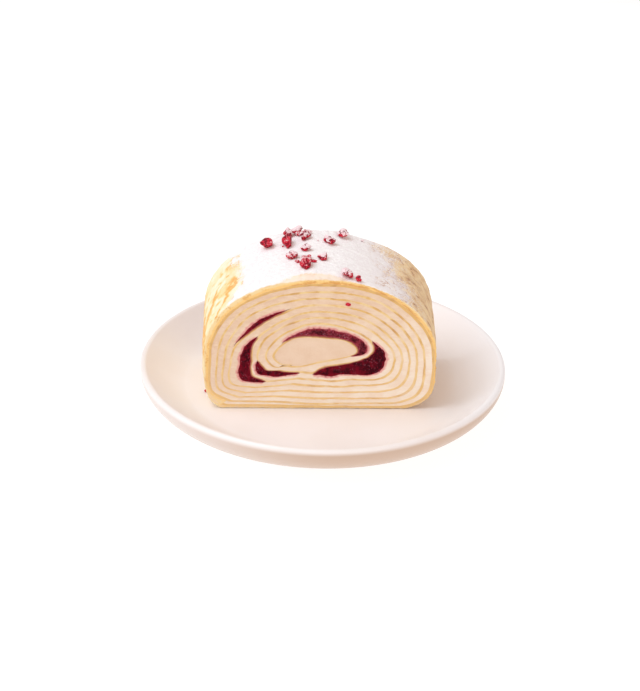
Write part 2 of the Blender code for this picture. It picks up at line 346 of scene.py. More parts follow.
@dataclass(frozen=True)
class Cream(Finish):
    """Pale beige whipped cream, finely pitted, with painted shade that darkens it higher up and to the
    left, pink beside the jam.
    """

    name: str = "whipped_cream"
    pale: Colour = screen(255, 243, 228)
    deep: Colour = screen(251, 231, 211)
    # painted shade: darker cream colours for the upper and left part of the cut
    painted_shade_pale: Colour = screen(243, 216, 191)
    painted_shade_deep: Colour = screen(233, 200, 172)
    stain: Colour = screen(230, 142, 144)
    jam: Colour = screen(128, 14, 34)

    def paint(self, graph: Graph) -> None:
        """Cloudy cream with knife marks, pores and an uneven pink bleed.

        Args:
            graph: the material's nodes.
        """
        at = graph.place()
        cloud = graph.noise(at, 7.0, 4.0)
        smear = graph.noise(graph.stretch(at, (1.0, 1.0, 3.2)), 3.0, 3.0, 0.6)
        pores = graph.noise(at, 0.55, 3.0)
        bleed = graph.attribute("stain") + (graph.noise(at, 1.3, 3.0) - 0.5) * 1.2
        # painted shade: darker towards the top and the left of the cut
        high = (graph.part(at, 2) - graph.part(at, 0) * 0.26).step(6.0, 58.0)
        share = (cloud * 0.6 + smear * 0.4).step(0.36, 0.64)
        colour = graph.layers(
            graph.blend(share, self.deep, self.pale),
            (high, graph.blend(share, self.painted_shade_deep, self.painted_shade_pale)),
            (bleed.step(0.2, 0.9) * 0.8, self.stain),
            (bleed.step(0.9, 1.25) * 0.85, self.jam),
        )
        pits = smear * 0.28 + pores * 0.14 + cloud * 0.3
        graph.dress(colour, 0.55 + 0.2 * pores, 0.2, pits)


@dataclass(frozen=True)
class CutCrepe(Finish):
    """The rolled-up crepe's thin edge: golden, with browner stretches, paler faces and painted light that
    lightens it lower down.
    """

    name: str = "cut_crepe"
    pale: Colour = screen(243, 213, 158)
    golden: Colour = screen(230, 186, 118)
    brown: Colour = screen(204, 154, 98)
    # painted light: a lighter colour for the lower part of the cut edge
    light: Colour = screen(252, 220, 162)
    soft: Colour = screen(247, 224, 192)
    stain: Colour = screen(150, 40, 52)

    def paint(self, graph: Graph) -> None:
        """Colour that changes along the sheet and pales into the cream on its two faces.

        Args:
            graph: the material's nodes.
        """
        run = graph.attribute("run", "Vector")
        toast = graph.attribute("toast")
        wander = graph.noise(graph.stretch(run, (1.0, 2.0, 1.0)), 6.0, 3.0)
        spots = graph.noise(graph.stretch(run, (1.0, 1.6, 1.0)), 4.5, 3.0)
        fine = graph.noise(run, 0.5)
        # painted light: lighter towards the base of the cut
        low = 1.0 - graph.part(graph.place(), 2).step(8.0, 50.0)
        faint = graph.noise(run, 8.0, 3.0, 0.3).step(0.5, 0.66)
        face = abs(graph.attribute("across") - 0.5) + (fine - 0.5) * 0.16
        bleed = graph.attribute("stain") + (fine - 0.5) * 0.5
        colour = graph.layers(
            self.pale,
            ((wander + toast * 0.2).step(0.36, 0.6), self.golden),
            ((spots * 0.5 + wander * 0.6).step(0.54, 0.74) * 0.85, self.brown),
            (low * 0.5, self.light),
            (faint * (1.0 - toast) * 0.55, self.soft),
            (face.step(0.28, 0.54) * (0.7 - 0.4 * toast), self.soft),
            (bleed.step(0.3, 0.9) * 0.8, self.stain),
        )
        graph.dress(colour, 0.6 + 0.2 * fine, 0.2, fine * 0.16 + spots * 0.2)


@dataclass(frozen=True)
class Custard(Finish):
    """Smooth, dense beige custard."""

    name: str = "custard_heart"
    pale: Colour = screen(243, 217, 193)
    deep: Colour = screen(238, 209, 182)

    def paint(self, graph: Graph) -> None:
        """Even colour with a faint grain and knife marks.

        Args:
            graph: the material's nodes.
        """
        at = graph.place()
        grain = graph.noise(at, 0.6, 3.0)
        drag = graph.noise(graph.stretch(at, (1.0, 1.0, 5.0)), 4.0, 2.0, 0.4)
        share = (graph.noise(at, 6.0, 3.0) * 0.7 + grain * 0.3).step(0.35, 0.65)
        colour = graph.blend(share, self.deep, self.pale)
        graph.dress(colour, 0.5 + 0.15 * grain, 0.25, grain * 0.08 + drag * 0.15, 0.7)


@dataclass(frozen=True)
class Jam(Finish):
    """Dark red berry jam, moist, with pulp and seeds.

    Bloom is how dusty its pulp looks, and frost is the share of its pale specks.
    """

    name: str = "berry_jam"
    frost: float = 0.25
    bloom: float = 0.0
    dark: Colour = screen(62, 4, 18)
    red: Colour = screen(114, 8, 30)
    bright: Colour = screen(166, 20, 48)
    dusty: Colour = screen(186, 84, 100)
    speck: Colour = screen(206, 140, 160)

    def paint(self, graph: Graph) -> None:
        """Mottled pulp, redder towards its edges, with scattered frosty specks.

        Args:
            graph: the material's nodes.
        """
        at = graph.place()
        pulp = graph.noise(at, 2.6, 4.0, 0.4)
        fine = graph.noise(at, 0.5, 3.0)
        rim = graph.attribute("rim")
        deep = graph.part(at, 0).step(13.0, 24.0)
        dull = (pulp * 0.5 + fine * 0.5 + rim * 0.1).step(0.4, 0.62)
        dots = graph.grains(at, 0.62).step(0.36, 0.16)
        patches = graph.noise(at, 3.0).step(0.42, 0.62)
        colour = graph.layers(
            self.dark,
            ((pulp + rim * 0.2 - deep * 0.1).step(0.38, 0.66), self.red),
            ((fine + rim * 0.14).step(0.55, 0.75) * 0.6, self.bright),
            (dull * self.bloom, self.dusty),
            (dots * patches * self.frost, self.speck),
        )
        graph.dress(colour, 0.5 + 0.3 * fine, 0.06, pulp * 0.5 + fine * 0.16, 0.9)


@dataclass(frozen=True)
class Skin(Finish):
    """The outer crepe: pale gold with a browned net, its cut edge, and dusted with sugar."""

    name: str = "crepe_skin"
    pale: Colour = screen(254, 244, 220)
    golden: Colour = screen(252, 232, 188)
    halo: Colour = screen(251, 218, 154)
    vein: Colour = screen(241, 174, 92)
    # tan and tan_brown: the right side's browning, carrying painted shade as well
    tan: Colour = screen(246, 218, 174)
    tan_brown: Colour = screen(224, 184, 138)
    brown: Colour = screen(168, 114, 84)
    band: Colour = screen(249, 232, 219)
    cut_pale: Colour = screen(251, 222, 168)
    cut_golden: Colour = screen(253, 211, 138)
    cut_brown: Colour = screen(228, 168, 98)
    # painted light: the lighter colour of the cut edge near the base
    cut_base: Colour = screen(255, 226, 164)
    sugar: Colour = screen(250, 243, 242)

    def paint(self, graph: Graph) -> None:
        """The browned outside, and the skin's own thickness where it is cut.

        Args:
            graph: the material's nodes.
        """
        run = graph.attribute("run", "Vector")
        fine = graph.noise(run, 0.8, 3.0)
        blotch = graph.noise(run, 4.5, 4.0, 0.6)
        outside = self.outside(graph, run, fine, blotch)
        cut = self.cut(graph, fine, blotch)
        colour = graph.blend(graph.attribute("edge"), outside, cut)
        graph.dress(colour, 0.6 + 0.2 * fine, 0.2, fine * 0.14 + blotch * 0.3)

    def outside(self, graph: Graph, run: Signal, fine: Signal, blotch: Signal) -> Value:
        """Clouds of gold, browned veins along the wrinkles, a browner right side that is partly browning
        and partly painted shade, sugar and the bare band.

        Args:
            graph: the finish's graph.
            run: coordinates along the skin, in millimetres.
            fine: fine unevenness.
            blotch: unevenness a few millimetres wide.

        Returns:
            The colour.
        """
        # the right side's browning together with painted shade, laid as tan over the pale skin
        browning_and_shade = graph.attribute("browning_and_shade")
        cloud = graph.noise(graph.stretch(run, (1.0, 0.6, 1.0)), 6.0, 4.0, 0.5)
        browned = graph.blend(blotch.step(0.36, 0.66), self.tan, self.tan_brown)
        vein = graph.attribute("vein") + (fine - 0.5) * 0.4 + (blotch - 0.5) * 0.4
        line = vein.step(0.45, 1.05) * (0.9 - browning_and_shade * 0.35)
        burnt = (blotch + fine * 0.2).step(0.68, 0.8)
        dust = graph.attribute("dust") + browning_and_shade * 0.12 + (graph.noise(run, 0.5, 3.0) - 0.5) * 2.4
        return graph.layers(
            self.pale,
            ((cloud + graph.attribute("low") * 0.25).step(0.4, 0.68), self.golden),
            (browning_and_shade, browned),
            (vein.step(-0.05, 0.65) * (1.0 - browning_and_shade), self.halo),
            (line, graph.blend(browning_and_shade, self.vein, self.brown)),
            (burnt * browning_and_shade * 0.8, self.brown),
            (dust.step(0.3, 0.8), self.sugar),
            (graph.attribute("band"), self.band),
        )

    def cut(self, graph: Graph, fine: Signal, blotch: Signal) -> Value:
        """Golden cut edge, browner under the crust, flaky near the base and lighter there by painted
        light.

        Args:
            graph: the finish's graph.
            fine: fine unevenness.
            blotch: unevenness a few millimetres wide.

        Returns:
            The colour.
        """
        crust = graph.attribute("crust")
        inward = graph.attribute("inward") + crust * 0.45 + (fine - 0.5) * 0.7 + (blotch - 0.5) * 1.4
        toasted = crust * inward * 0.7 + (blotch - 0.5) * 2.0
        flecks = (blotch * 0.7 + fine * 0.6).step(0.68, 0.8)
        flakes = (blotch * 0.5 + fine * 0.7).step(0.58, 0.7)
        # painted light: the cut edge is lighter near the base
        near_base = 1.0 - graph.part(graph.place(), 2).step(3.0, 26.0)
        return graph.layers(
            self.cut_pale,
            (inward.step(0.1, 1.0), self.cut_golden),
            (toasted.step(0.5, 1.2), self.cut_brown),
            (flecks * 0.7, self.cut_brown),
            (near_base * 0.6, self.cut_base),
            (near_base * flakes * 0.8, self.band),
        )


@dataclass(frozen=True)
class Sugar(Finish):
    """Powdered sugar: white, very matt and grainy, tinted where it lies thin, and tan on the right side
    where browning and painted shade show through.
    """

    name: str = "powdered_sugar"
    white: Colour = screen(254, 252, 252)
    dim: Colour = screen(245, 238, 240)
    thin: Colour = screen(249, 226, 206)
    # thin_tan: the right side's browning together with painted shade, under thin sugar
    thin_tan: Colour = screen(204, 166, 146)

    def paint(self, graph: Graph) -> None:
        """Grainy white over the tone of the skin below.

        Args:
            graph: the material's nodes.
        """
        at = graph.place()
        grain = graph.noise(at, 0.45, 3.0)
        lumps = graph.noise(at, 1.6, 3.0)
        # browning together with painted shade on the right side
        browning_and_shade = graph.attribute("browning_and_shade")
        cover = graph.attribute("cover") + (grain - 0.5) * 1.3 + (lumps - 0.5) * 0.9
        dimmed = (grain * 0.6 + lumps * 0.4 + browning_and_shade * 0.06).step(0.42, 0.6)
        colour = graph.layers(
            self.thin,
            (browning_and_shade, self.thin_tan),
            (cover.step(0.1, 0.8), graph.blend(dimmed, self.white, self.dim)),
        )
        graph.dress(colour, 0.92, 0.15, grain * 0.12 + lumps * 0.1)


@dataclass(frozen=True)
class Berry(Finish):
    """Freeze-dried berry: crimson skin, painted shade in its hollows and sugar frost on the upper faces.
    """

    name: str = "dried_berry"
    crimson: Colour = screen(206, 22, 50)
    dark: Colour = screen(122, 8, 34)
    pink: Colour = screen(232, 130, 142)
    frost: Colour = screen(250, 230, 234)

    def paint(self, graph: Graph) -> None:
        """Dry mottled flesh with frost by the mesh's own frost value.

        Args:
            graph: the material's nodes.
        """
        at = graph.place()
        flesh = graph.noise(at, 1.1, 4.0, 0.3)
        fine = graph.noise(at, 0.3, 3.0)
        hollow = graph.attribute("hollow")
        frost = graph.attribute("frost") + (fine - 0.5) * 1.2 + (flesh - 0.5) * 2.0
        colour = graph.layers(
            self.dark,
            # painted shade: the flesh is darker in the grooves between drupelets, and on broken faces too
            ((flesh - hollow * 0.16).step(0.32, 0.46), self.crimson),
            ((fine - hollow * 0.1).step(0.52, 0.66) * 0.6, self.pink),
            (frost.step(0.42, 0.68) * 0.95, self.frost),
        )
        roughness = 0.5 + 0.35 * frost.step(0.2, 0.8)
        graph.dress(colour, roughness, 0.15, fine * 0.16 + flesh * 0.25, 0.9)


@dataclass(frozen=True)
class Paper(Finish):
    """The plain pale studio floor, white round the plate and greyer far away."""

    name: str = "studio_floor"
    near: Colour = (0.3, 0.3, 0.3)
    far: Colour = (0.25, 0.24, 0.23)
    near_glow: Colour = (1.0, 1.0, 1.0)
    far_glow: Colour = (0.25, 0.24, 0.23)
    fade: tuple[float, float] = (390.0, 700.0)

    def paint(self, graph: Graph) -> None:
        """Matt white that fades with the distance from the plate.

        Args:
            graph: the material's nodes.
        """
        length = {"operation": "LENGTH"}
        away = graph.node("ShaderNodeVectorMath", length, {0: graph.place()}, "Value")
        share = away.step(*self.fade)
        graph.shade(
            Base_Color=graph.blend(share, self.near, self.far),
            Roughness=0.9,
            Specular_IOR_Level=0.1,
            Emission_Color=graph.blend(share, self.near_glow, self.far_glow),
            Emission_Strength=0.85,
        )


# ---------------------------------------------------------------- meshes


def block(columns: int, rows: int, cuts: int = 0) -> bmesh.types.BMesh:
    """A closed block of unit size with a fine grid on its two large faces.

    Args:
        columns: cells along X.
        rows: cells along Y.
        cuts: extra loops round its sides, between the faces at Z 0 and Z 1.

    Returns:
        The block, with all its corners between 0 and 1.
    """
    shape = bmesh.new()
    bmesh.ops.create_grid(shape, x_segments=columns, y_segments=rows, size=0.5)
    bmesh.ops.translate(shape, vec=(0.5, 0.5, 0.0), verts=shape.verts)
    raised = bmesh.ops.extrude_face_region(shape, geom=shape.faces[:])["geom"]
    tops = [item for item in raised if isinstance(item, bmesh.types.BMVert)]
    bmesh.ops.translate(shape, vec=(0.0, 0.0, 1.0), verts=tops)
    if cuts:
        uprights = [e for e in shape.edges if abs(e.verts[0].co.z - e.verts[1].co.z) > 0.5]
        bmesh.ops.subdivide_edges(shape, edges=uprights, cuts=cuts, use_grid_fill=True)
    return shape


Values = dict[str, float | Vector]


def shaped(
    shape: bmesh.types.BMesh, place: Callable[[Vector], tuple[Vector, Values]]
) -> bmesh.types.BMesh:
    """Moves every corner to where place puts it, and stores the values that place gives.

    Args:
        shape: mesh that is changed.
        place: gives a corner's new position and the values that the mesh carries there.

    Returns:
        The same mesh, with its faces outward.
    """
    found = [place(vert.co.copy()) for vert in shape.verts]
    layers = {}
    for name, value in found[0][1].items():
        kind = shape.verts.layers.float_vector if isinstance(value, Vector) else shape.verts.layers.float
        layers[name] = kind.new(name)
    for vert, (spot, values) in zip(shape.verts, found):
        vert.co = spot
        for name, layer in layers.items():
            vert[layer] = values[name]
    bmesh.ops.recalc_face_normals(shape, faces=shape.faces)
    # The inside of a thin rolled sheet can be taken for its outside; its volume is then negative.
    if shape.calc_volume(signed=True) < 0.0:
        bmesh.ops.reverse_faces(shape, faces=shape.faces)
    return shape


def add(name: str, data: bpy.types.ID) -> bpy.types.Object:
    """A new object in the scene, with that data."""
    made = bpy.data.objects.new(name, data)
    bpy.context.scene.collection.objects.link(made)
    return made


def solid(shape: bmesh.types.BMesh, name: str, finish: Finish) -> bpy.types.Object:
    """Makes a mesh an object.

    Args:
        shape: finished mesh; it is freed.
        name: the object's name.
        finish: its surface.

    Returns:
        The object.
    """
    mesh = bpy.data.meshes.new(name)
    shape.to_mesh(mesh)
    shape.free()
    mesh.materials.append(finish.material())
    return add(name, mesh)


def show(
    shape: bmesh.types.BMesh,
    name: str,
    finish: Finish,
    nodes: Sequence[str] = (),
    slot: str = "",
    sharp: float = 50.0,
) -> bpy.types.Object:
    """Makes a mesh a visible piece that rides on the plate's body.

    Args:
        shape: finished mesh, in metres in the row's frame; it is freed.
        name: the piece's name.
        finish: its surface.
        nodes: model nodes that it stands for.
        slot: not used.
        sharp: edges over this angle, in degrees, stay sharp.

    Returns:
        The piece.
    """
    piece = solid(shape, name, finish)
    piece.data.shade_smooth()
    piece.data.set_sharp_from_angle(angle=math.radians(sharp))
    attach(piece, "root")
    if nodes:
        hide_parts(*nodes)
    LOG.info("%s: %d faces", name, len(piece.data.polygons))
    return piece


# ---------------------------------------------------------------- the roll


class Face(Enum):
    """Faces between layers, met one after another on the way in."""

    OUTSIDE = "outside"
    CREPE_OUTER = "crepe outer"
    CREPE_INNER = "crepe inner"
    JAM_OUTER = "jam outer"


@dataclass(frozen=True)
class RollSection:
    """The cut of the roll: layers stacked inwards on rays that leave its middle.

    Values round the roll are those under, right of, over and left of the middle. The outline's
    heights and powers are those of its quarters from the lower right round to the lower left. The
    wrapper is the outer crepe. The rolled sheet starts at the seam; from the tuck's share of a turn
    on, a turn slips in under the one before it. Jam and extra cream are given by their turn and
    their thickness at angles along that turn. The heart is the outline of the custard.
    """

    middle: tuple[float, float] = (-2.5, 26.0)
    reach_left: float = 45.0
    reach_right: float = 49.1
    heights: Quarters = (27.2, 33.4, 33.4, 29.2)
    base: float = 26.0
    powers: Quarters = (5.2, 1.95, 2.0, 5.0)
    seam: float = -147.3
    turns: int = 8
    crepe: float = 1.0
    tuck: float = 0.97
    wrapper: Quarters = (0.35, 0.8, 2.3, 2.2)
    thicker: Profile = ((-6, 0), (20, 1.0), (44, 0.1), (90, 0.8), (130, 1.2), (158, 0.5), (176, 0))
    cream: tuple[Quarters, ...] = (
        (0.0, 0.0, 0.0, 0.0),
        (0.2, 1.9, 2.2, 2.05),
        (1.55, 2.05, 2.1, 2.05),
        (1.9, 2.05, 2.1, 1.95),
        (1.75, 2.05, 2.1, 2.9),
        (1.75, 2.05, 1.85, 1.55),
        (1.85, 3.0, 1.75, 2.55),
        (1.25, 1.8, 1.75, 2.35),
        (1.25, 1.8, 1.75, 2.35),
    )
    jam: tuple[tuple[str, int, Profile], ...] = (
        ("jam_sliver", 3, ((116, 0), (134, 0.9), (150, 2.0), (163, 1.1), (177, 0))),
        ("jam_crescent", 4, ((163, 0), (174, 2.2), (184, 4.1), (192, 5.0), (200, 5.2), (206, 3.9),
                             (212, 1.6), (216, 0))),
        ("jam_left_pocket", 6, ((-170, 0), (-164, 2.4), (-156, 3.9), (-147, 3.6), (-137, 1.9),
                                (-120, 0))),
        ("jam_right_pocket", 6, ((-97, 0), (-77, 2.6), (-55, 4.8), (-42, 4.9), (-33, 5.8), (-25, 9.0),
                                 (-17, 10.2), (-8, 7.8), (-1, 4.5), (6, 1.5), (13, 0))),
        ("jam_band", 7, ((-9, 0), (-4, 3.0), (10, 3.5), (40, 3.5), (80, 3.7), (105, 3.2), (125, 2.1),
                         (150, 0.9), (168, 0))),
    )
    extra_cream: tuple[tuple[int, Profile], ...] = (
        (7, ((-135, 0), (-125, 0.4), (-96, 2.0), (-77, 0.6), (-60, 0))),
        (7, ((-36, 0), (-28, 0.4), (-18, 1.8), (-9, 3.0), (-4, 0))),
        (1, ((-28, 0), (-8, 0.6), (20, 0.6), (42, 0))),
        (3, ((108, 0), (128, 0.9), (150, 0.9), (174, 0))),
        (4, ((168, 0), (186, 0.3), (200, 1.2), (214, 1.2), (236, 0))),
        (5, ((-64, 0), (-38, 0.5), (-16, 0))),
        (4, ((-64, 0), (-36, 0.9), (-14, 0))),
        (3, ((-64, 0), (-36, 0.9), (-14, 0))),
        (2, ((100, 0), (128, 0.5), (150, 0.4), (172, 0))),
        (3, ((90, 0), (120, 0.6), (155, 0.6), (180, 0))),
    )
    heart: tuple[tuple[float, float], ...] = (
        (-18.6, 24.8), (-15.0, 29.2), (-9.0, 32.2), (0.0, 31.9), (9.0, 30.8), (13.3, 28.0),
        (13.3, 25.2), (8.0, 23.3), (-1.0, 21.6), (-8.6, 19.5), (-14.2, 19.8), (-17.8, 21.8),
    )

    def outline(self, angle: float) -> float:
        """The cut's outline: domed top, upright sides and flat base.

        Args:
            angle: angle round the middle, in degrees.

        Returns:
            Distance from the middle to the outline.
        """
        across, up = math.cos(math.radians(angle)), math.sin(math.radians(angle))
        right = across > 0.0
        quarter = (1 if right else 2) if up > 0.0 else (0 if right else 3)
        width = self.reach_right if right else self.reach_left
        height = self.heights[quarter]
        power = self.powers[quarter]
        reach = ((abs(across) / width) ** power + (abs(up) / height) ** power) ** (-1.0 / power)
        return min(reach, self.base / -up) if up < 0.0 else reach

    def heart_outline(self, parts: int = 24) -> tuple[np.ndarray, np.ndarray]:
        """Angles and reaches along the custard's outline, sorted by angle.

        Args:
            parts: steps between two of its points.

        Returns:
            Angles in degrees and reaches in millimetres.
        """
        points = [Vector(p) for p in self.heart]
        found = []
        for i in range(len(points)):
            p0, p1, p2, p3 = (points[(i + j) % len(points)] for j in (-1, 0, 1, 2))
            for j in range(parts):
                x = j / parts
                spot = 0.5 * (
                    2.0 * p1 + (p2 - p0) * x + (2.0 * p0 - 5.0 * p1 + 4.0 * p2 - p3) * x**2
                    + (3.0 * p1 - p0 - 3.0 * p2 + p3) * x**3
                )
                arm = spot - Vector(self.middle)
                found.append((math.degrees(math.atan2(arm.y, arm.x)), arm.length))
        angles, reaches = zip(*sorted(found))
        return np.array(angles), np.array(reaches)

    @staticmethod
    def around(values: Quarters, angle: float) -> float:
        """A value between those under, right of, over and left of the middle."""
        quarter = ((angle + 90.0) % 360.0) / 90.0
        i = int(quarter)
        return mix(values[i % 4], values[(i + 1) % 4], smooth(quarter - i))

    @staticmethod
    def along(profile: Profile, angle: float) -> float:
        """A profile's value: a smooth curve through its points, never below zero.

        Args:
            profile: pairs of an angle and the value there.
            angle: where it is read.

        Returns:
            The value, which is zero past the profile's ends.
        """
        if not profile[0][0] < angle < profile[-1][0]:
            return 0.0
        last = len(profile) - 1
        j = next(i for i in range(last) if profile[i][0] <= angle <= profile[i + 1][0])
        slopes = []
        for k in (j, j + 1):
            before, after = profile[max(k - 1, 0)], profile[min(k + 1, last)]
            slopes.append((after[1] - before[1]) / (after[0] - before[0]))
        (a0, v0), (a1, v1) = profile[j], profile[j + 1]
        span = a1 - a0
        x = (angle - a0) / span
        value = (
            (2 * x**3 - 3 * x**2 + 1) * v0
            + (x**3 - 2 * x**2 + x) * span * slopes[0]
            + (3 * x**2 - 2 * x**3) * v1
            + (x**3 - x**2) * span * slopes[1]
        )
        return max(value, 0.0)

    def jam_on(self, turn: int, angle: float) -> float:
        """Thickness of the jam on a turn."""
        return sum(self.along(p, angle + 360.0 * (turn - t)) for _, t, p in self.jam)

    def cream_on(self, level: float, turn: int, angle: float) -> float:
        """Thickness of the cream outside a turn.

        Args:
            level: the turn, or a value between two turns where one tucks in.
            turn: the turn that extra cream belongs to.
            angle: angle round the middle, in degrees.

        Returns:
            Thickness in millimetres.
        """
        low = int(level)
        high = min(low + 1, self.turns)
        plain = mix(
            self.around(self.cream[low], angle), self.around(self.cream[high], angle), level - low
        )
        return plain + sum(self.along(p, angle + 360.0 * (turn - t)) for t, p in self.extra_cream)

    def stack(self, angle: float, heart: float) -> list[tuple[float, float, float]]:
        """Radii of each turn's crepe outer, crepe inner and jam outer face on one ray.

        Args:
            angle: the ray's angle, from the seam round to the seam again.
            heart: radius of the custard there.

        Returns:
            The three radii for each turn, from the outermost in.
        """
        tuck = smooth(((angle - self.seam) / 360.0 - self.tuck) / (1.0 - self.tuck))
        outside = self.outline(angle)
        wrapper = self.around(self.wrapper, angle) + self.along(self.thicker, angle)
        inner = range(1, self.turns)
        jams = [0.0] + [self.jam_on(turn, angle) for turn in inner]
        spaces = [0.0] + [
            self.crepe + self.cream_on(turn + tuck, turn, angle) + jams[turn] for turn in inner
        ]
        first = tuck * (self.crepe + self.cream_on(1, 1, angle))
        total = wrapper + self.crepe + first + sum(spaces[:-1]) + (1.0 - tuck) * spaces[-1]
        slant = (outside - heart) / total
        last = self.turns - 1
        spaces[last] -= tuck * self.cream_on(last + tuck, last, angle)
        depth = wrapper + first
        rows = []
        for space, jam in zip(spaces, jams):
            depth += space
            radii = (depth, depth + self.crepe, depth - jam)
            rows.append(tuple(outside - slant * d for d in radii))
        return rows


class Roll:
    """The rolled-up layers in place on the plate, with the unevenness of hand work.

    The yaw is how far the slice is turned on the plate, and the rest gap is how far its base is
    above the well. The sheet wavers by a fraction of a millimetre, except where it starts, tight
    against the outer crepe.
    """

    depth = 44.4
    yaw = math.radians(1.85)
    rest_gap = 0.2
    rays = 480
    waver = 0.2
    jam_waver = 0.3
    tight_until = 0.3

    def __init__(self, section: RollSection) -> None:
        """Samples every face of the sheet along its winding, from the seam inwards.

        Args:
            section: the roll's cut.
        """
        self.section = section
        angles = section.seam + np.arange(self.rays + 1) * 360.0 / self.rays
        hearts = np.interp(angles, *section.heart_outline(), period=360.0)
        stacks = np.array([section.stack(a, h) for a, h in zip(angles, hearts)])
        rows = [stacks[:-1, turn] for turn in range(section.turns)] + [stacks[-1:, -1]]
        radii = np.concatenate(rows)
        self.winding = np.linspace(0.0, section.turns, section.turns * self.rays + 1)
        self.radii = {
            Face.CREPE_OUTER: radii[:, 0],
            Face.CREPE_INNER: radii[:, 1],
            Face.JAM_OUTER: radii[:, 2],
        }
        self.share = np.linspace(0.0, 1.0, self.rays + 1)
        self.outline = np.array([section.outline(a) for a in angles])
        self.rounds = self.path_length(np.radians(angles), self.outline)
        bends = np.radians(section.seam + 360.0 * self.winding)
        self.lengths = self.path_length(bends, radii[:, 0])
        self.origin = self.find_origin()

    @staticmethod
    def path_length(bends: np.ndarray, radii: np.ndarray) -> np.ndarray:
        """Distance along a curve from its start, at each of its points.

        Args:
            bends: the points' angles, in radians.
            radii: their distances from the middle.

        Returns:
            The distances.
        """
        path = radii[:, None] * np.stack([np.cos(bends), np.sin(bends)], 1)
        steps = np.hypot(*np.diff(path, axis=0).T)
        return np.concatenate([[0.0], np.cumsum(steps)])

    def find_origin(self) -> Vector:
        """The cut's own origin in the row's frame, found from the outer crepe's box."""
        low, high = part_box("outer_crepe")
        section = self.section
        centre = section.middle[0] + 0.5 * (section.reach_right - section.reach_left)
        offset = Vector((math.cos(self.yaw), math.sin(self.yaw))) * centre * MM
        middle = (low + high) / 2.0
        return Vector((middle.x - offset.x, middle.y - offset.y, low.z))

    def radius(self, face: Face, winding: float, depth: float) -> float:
        """Radius of a face, with the sheet's waver.

        Args:
            face: which face.
            winding: turns from the seam.
            depth: distance behind the front cut.

        Returns:
            Radius in millimetres.
        """
        if face is Face.OUTSIDE:
            return float(np.interp(winding, self.share, self.outline))
        plain = float(np.interp(winding, self.winding, self.radii[face]))
        length = self.length(winding)
        level = 1.0 if face is Face.CREPE_INNER else 0.0
        waver = rough((length, depth, 0.0), 6.0, level) + 0.6 * rough((length, depth, 5.0), 2.0, level)
        plain += self.waver * smooth(winding, 0.0, self.tight_until) * waver
        if face is Face.JAM_OUTER:
            lumps = rough((length, depth, 9.0), 3.0, 3.0) + 0.5 * rough((length, depth, 9.0), 1.1, 4.0)
            plain += self.jam_waver * min(self.jam(winding), 1.0) * lumps
        return plain

    def jam(self, winding: float) -> float:
        """Thickness of the jam there."""
        outer = np.interp(winding, self.winding, self.radii[Face.JAM_OUTER])
        inner = np.interp(winding, self.winding, self.radii[Face.CREPE_OUTER])
        return float(outer - inner)

    def length(self, winding: float) -> float:
        """Distance along the sheet from its outer end."""
        return float(np.interp(winding, self.winding, self.lengths))

    def round_at(self, winding: float) -> float:
        """Distance round the outside from the seam."""
        return float(np.interp(winding, self.share, self.rounds))

    def angle(self, winding: float) -> float:
        """Angle of the ray there, in degrees, from the seam on."""
        return self.section.seam + 360.0 * winding

    def winding_at(self, angle: float) -> float:
        """Turns from the seam to an angle in degrees."""
        return (angle - self.section.seam) / 360.0

    def on_cut(self, winding: float, radius: float) -> tuple[float, float]:
        """Place on the cut, across and up, of a point on a ray."""
        bend = math.radians(self.angle(winding))
        across, up = self.section.middle
        return across + radius * math.cos(bend), up + radius * math.sin(bend)

    def place(self, across: float, up: float, behind: float) -> Vector:
        """Position in the row's frame, in metres.

        Args:
            across: distance to the right on the cut.
            up: height above the slice's base.
            behind: distance behind the front cut.

        Returns:
            The position.
        """
        y = behind - 0.5 * self.depth
        cos, sin = math.cos(self.yaw), math.sin(self.yaw)
        return self.origin + Vector((across * cos - y * sin, across * sin + y * cos, up)) * MM

    def off_plate(self, spot: Vector) -> tuple[float, float, float]:
        """A position in the row's frame as across, up and behind on the slice."""
        x, y, z = (spot - self.origin) / MM
        cos, sin = math.cos(self.yaw), math.sin(self.yaw)
        return (x * cos + y * sin, z, y * cos - x * sin + 0.5 * self.depth)


@dataclass(frozen=True)
class CutTexture:
    """Relief of a layer where the knife went through: soft swells and a finer grain.

    Heights and sizes are in millimetres, and the lift is how far the whole layer stands proud.
    """

    lift: float = 0.0
    swell: float = 0.12
    swell_size: float = 6.0
    grain: float = 0.06
    grain_size: float = 1.2

    def height(self, across: float, up: float, side: float) -> float:
        """How far the cut stands proud at a place, on the front (0) or the back (1)."""
        at = (across, up, 40.0 * side)
        swell = self.swell * rough(at, self.swell_size, 1.0)
        return self.lift + swell + self.grain * rough(at, self.grain_size, 2.0)


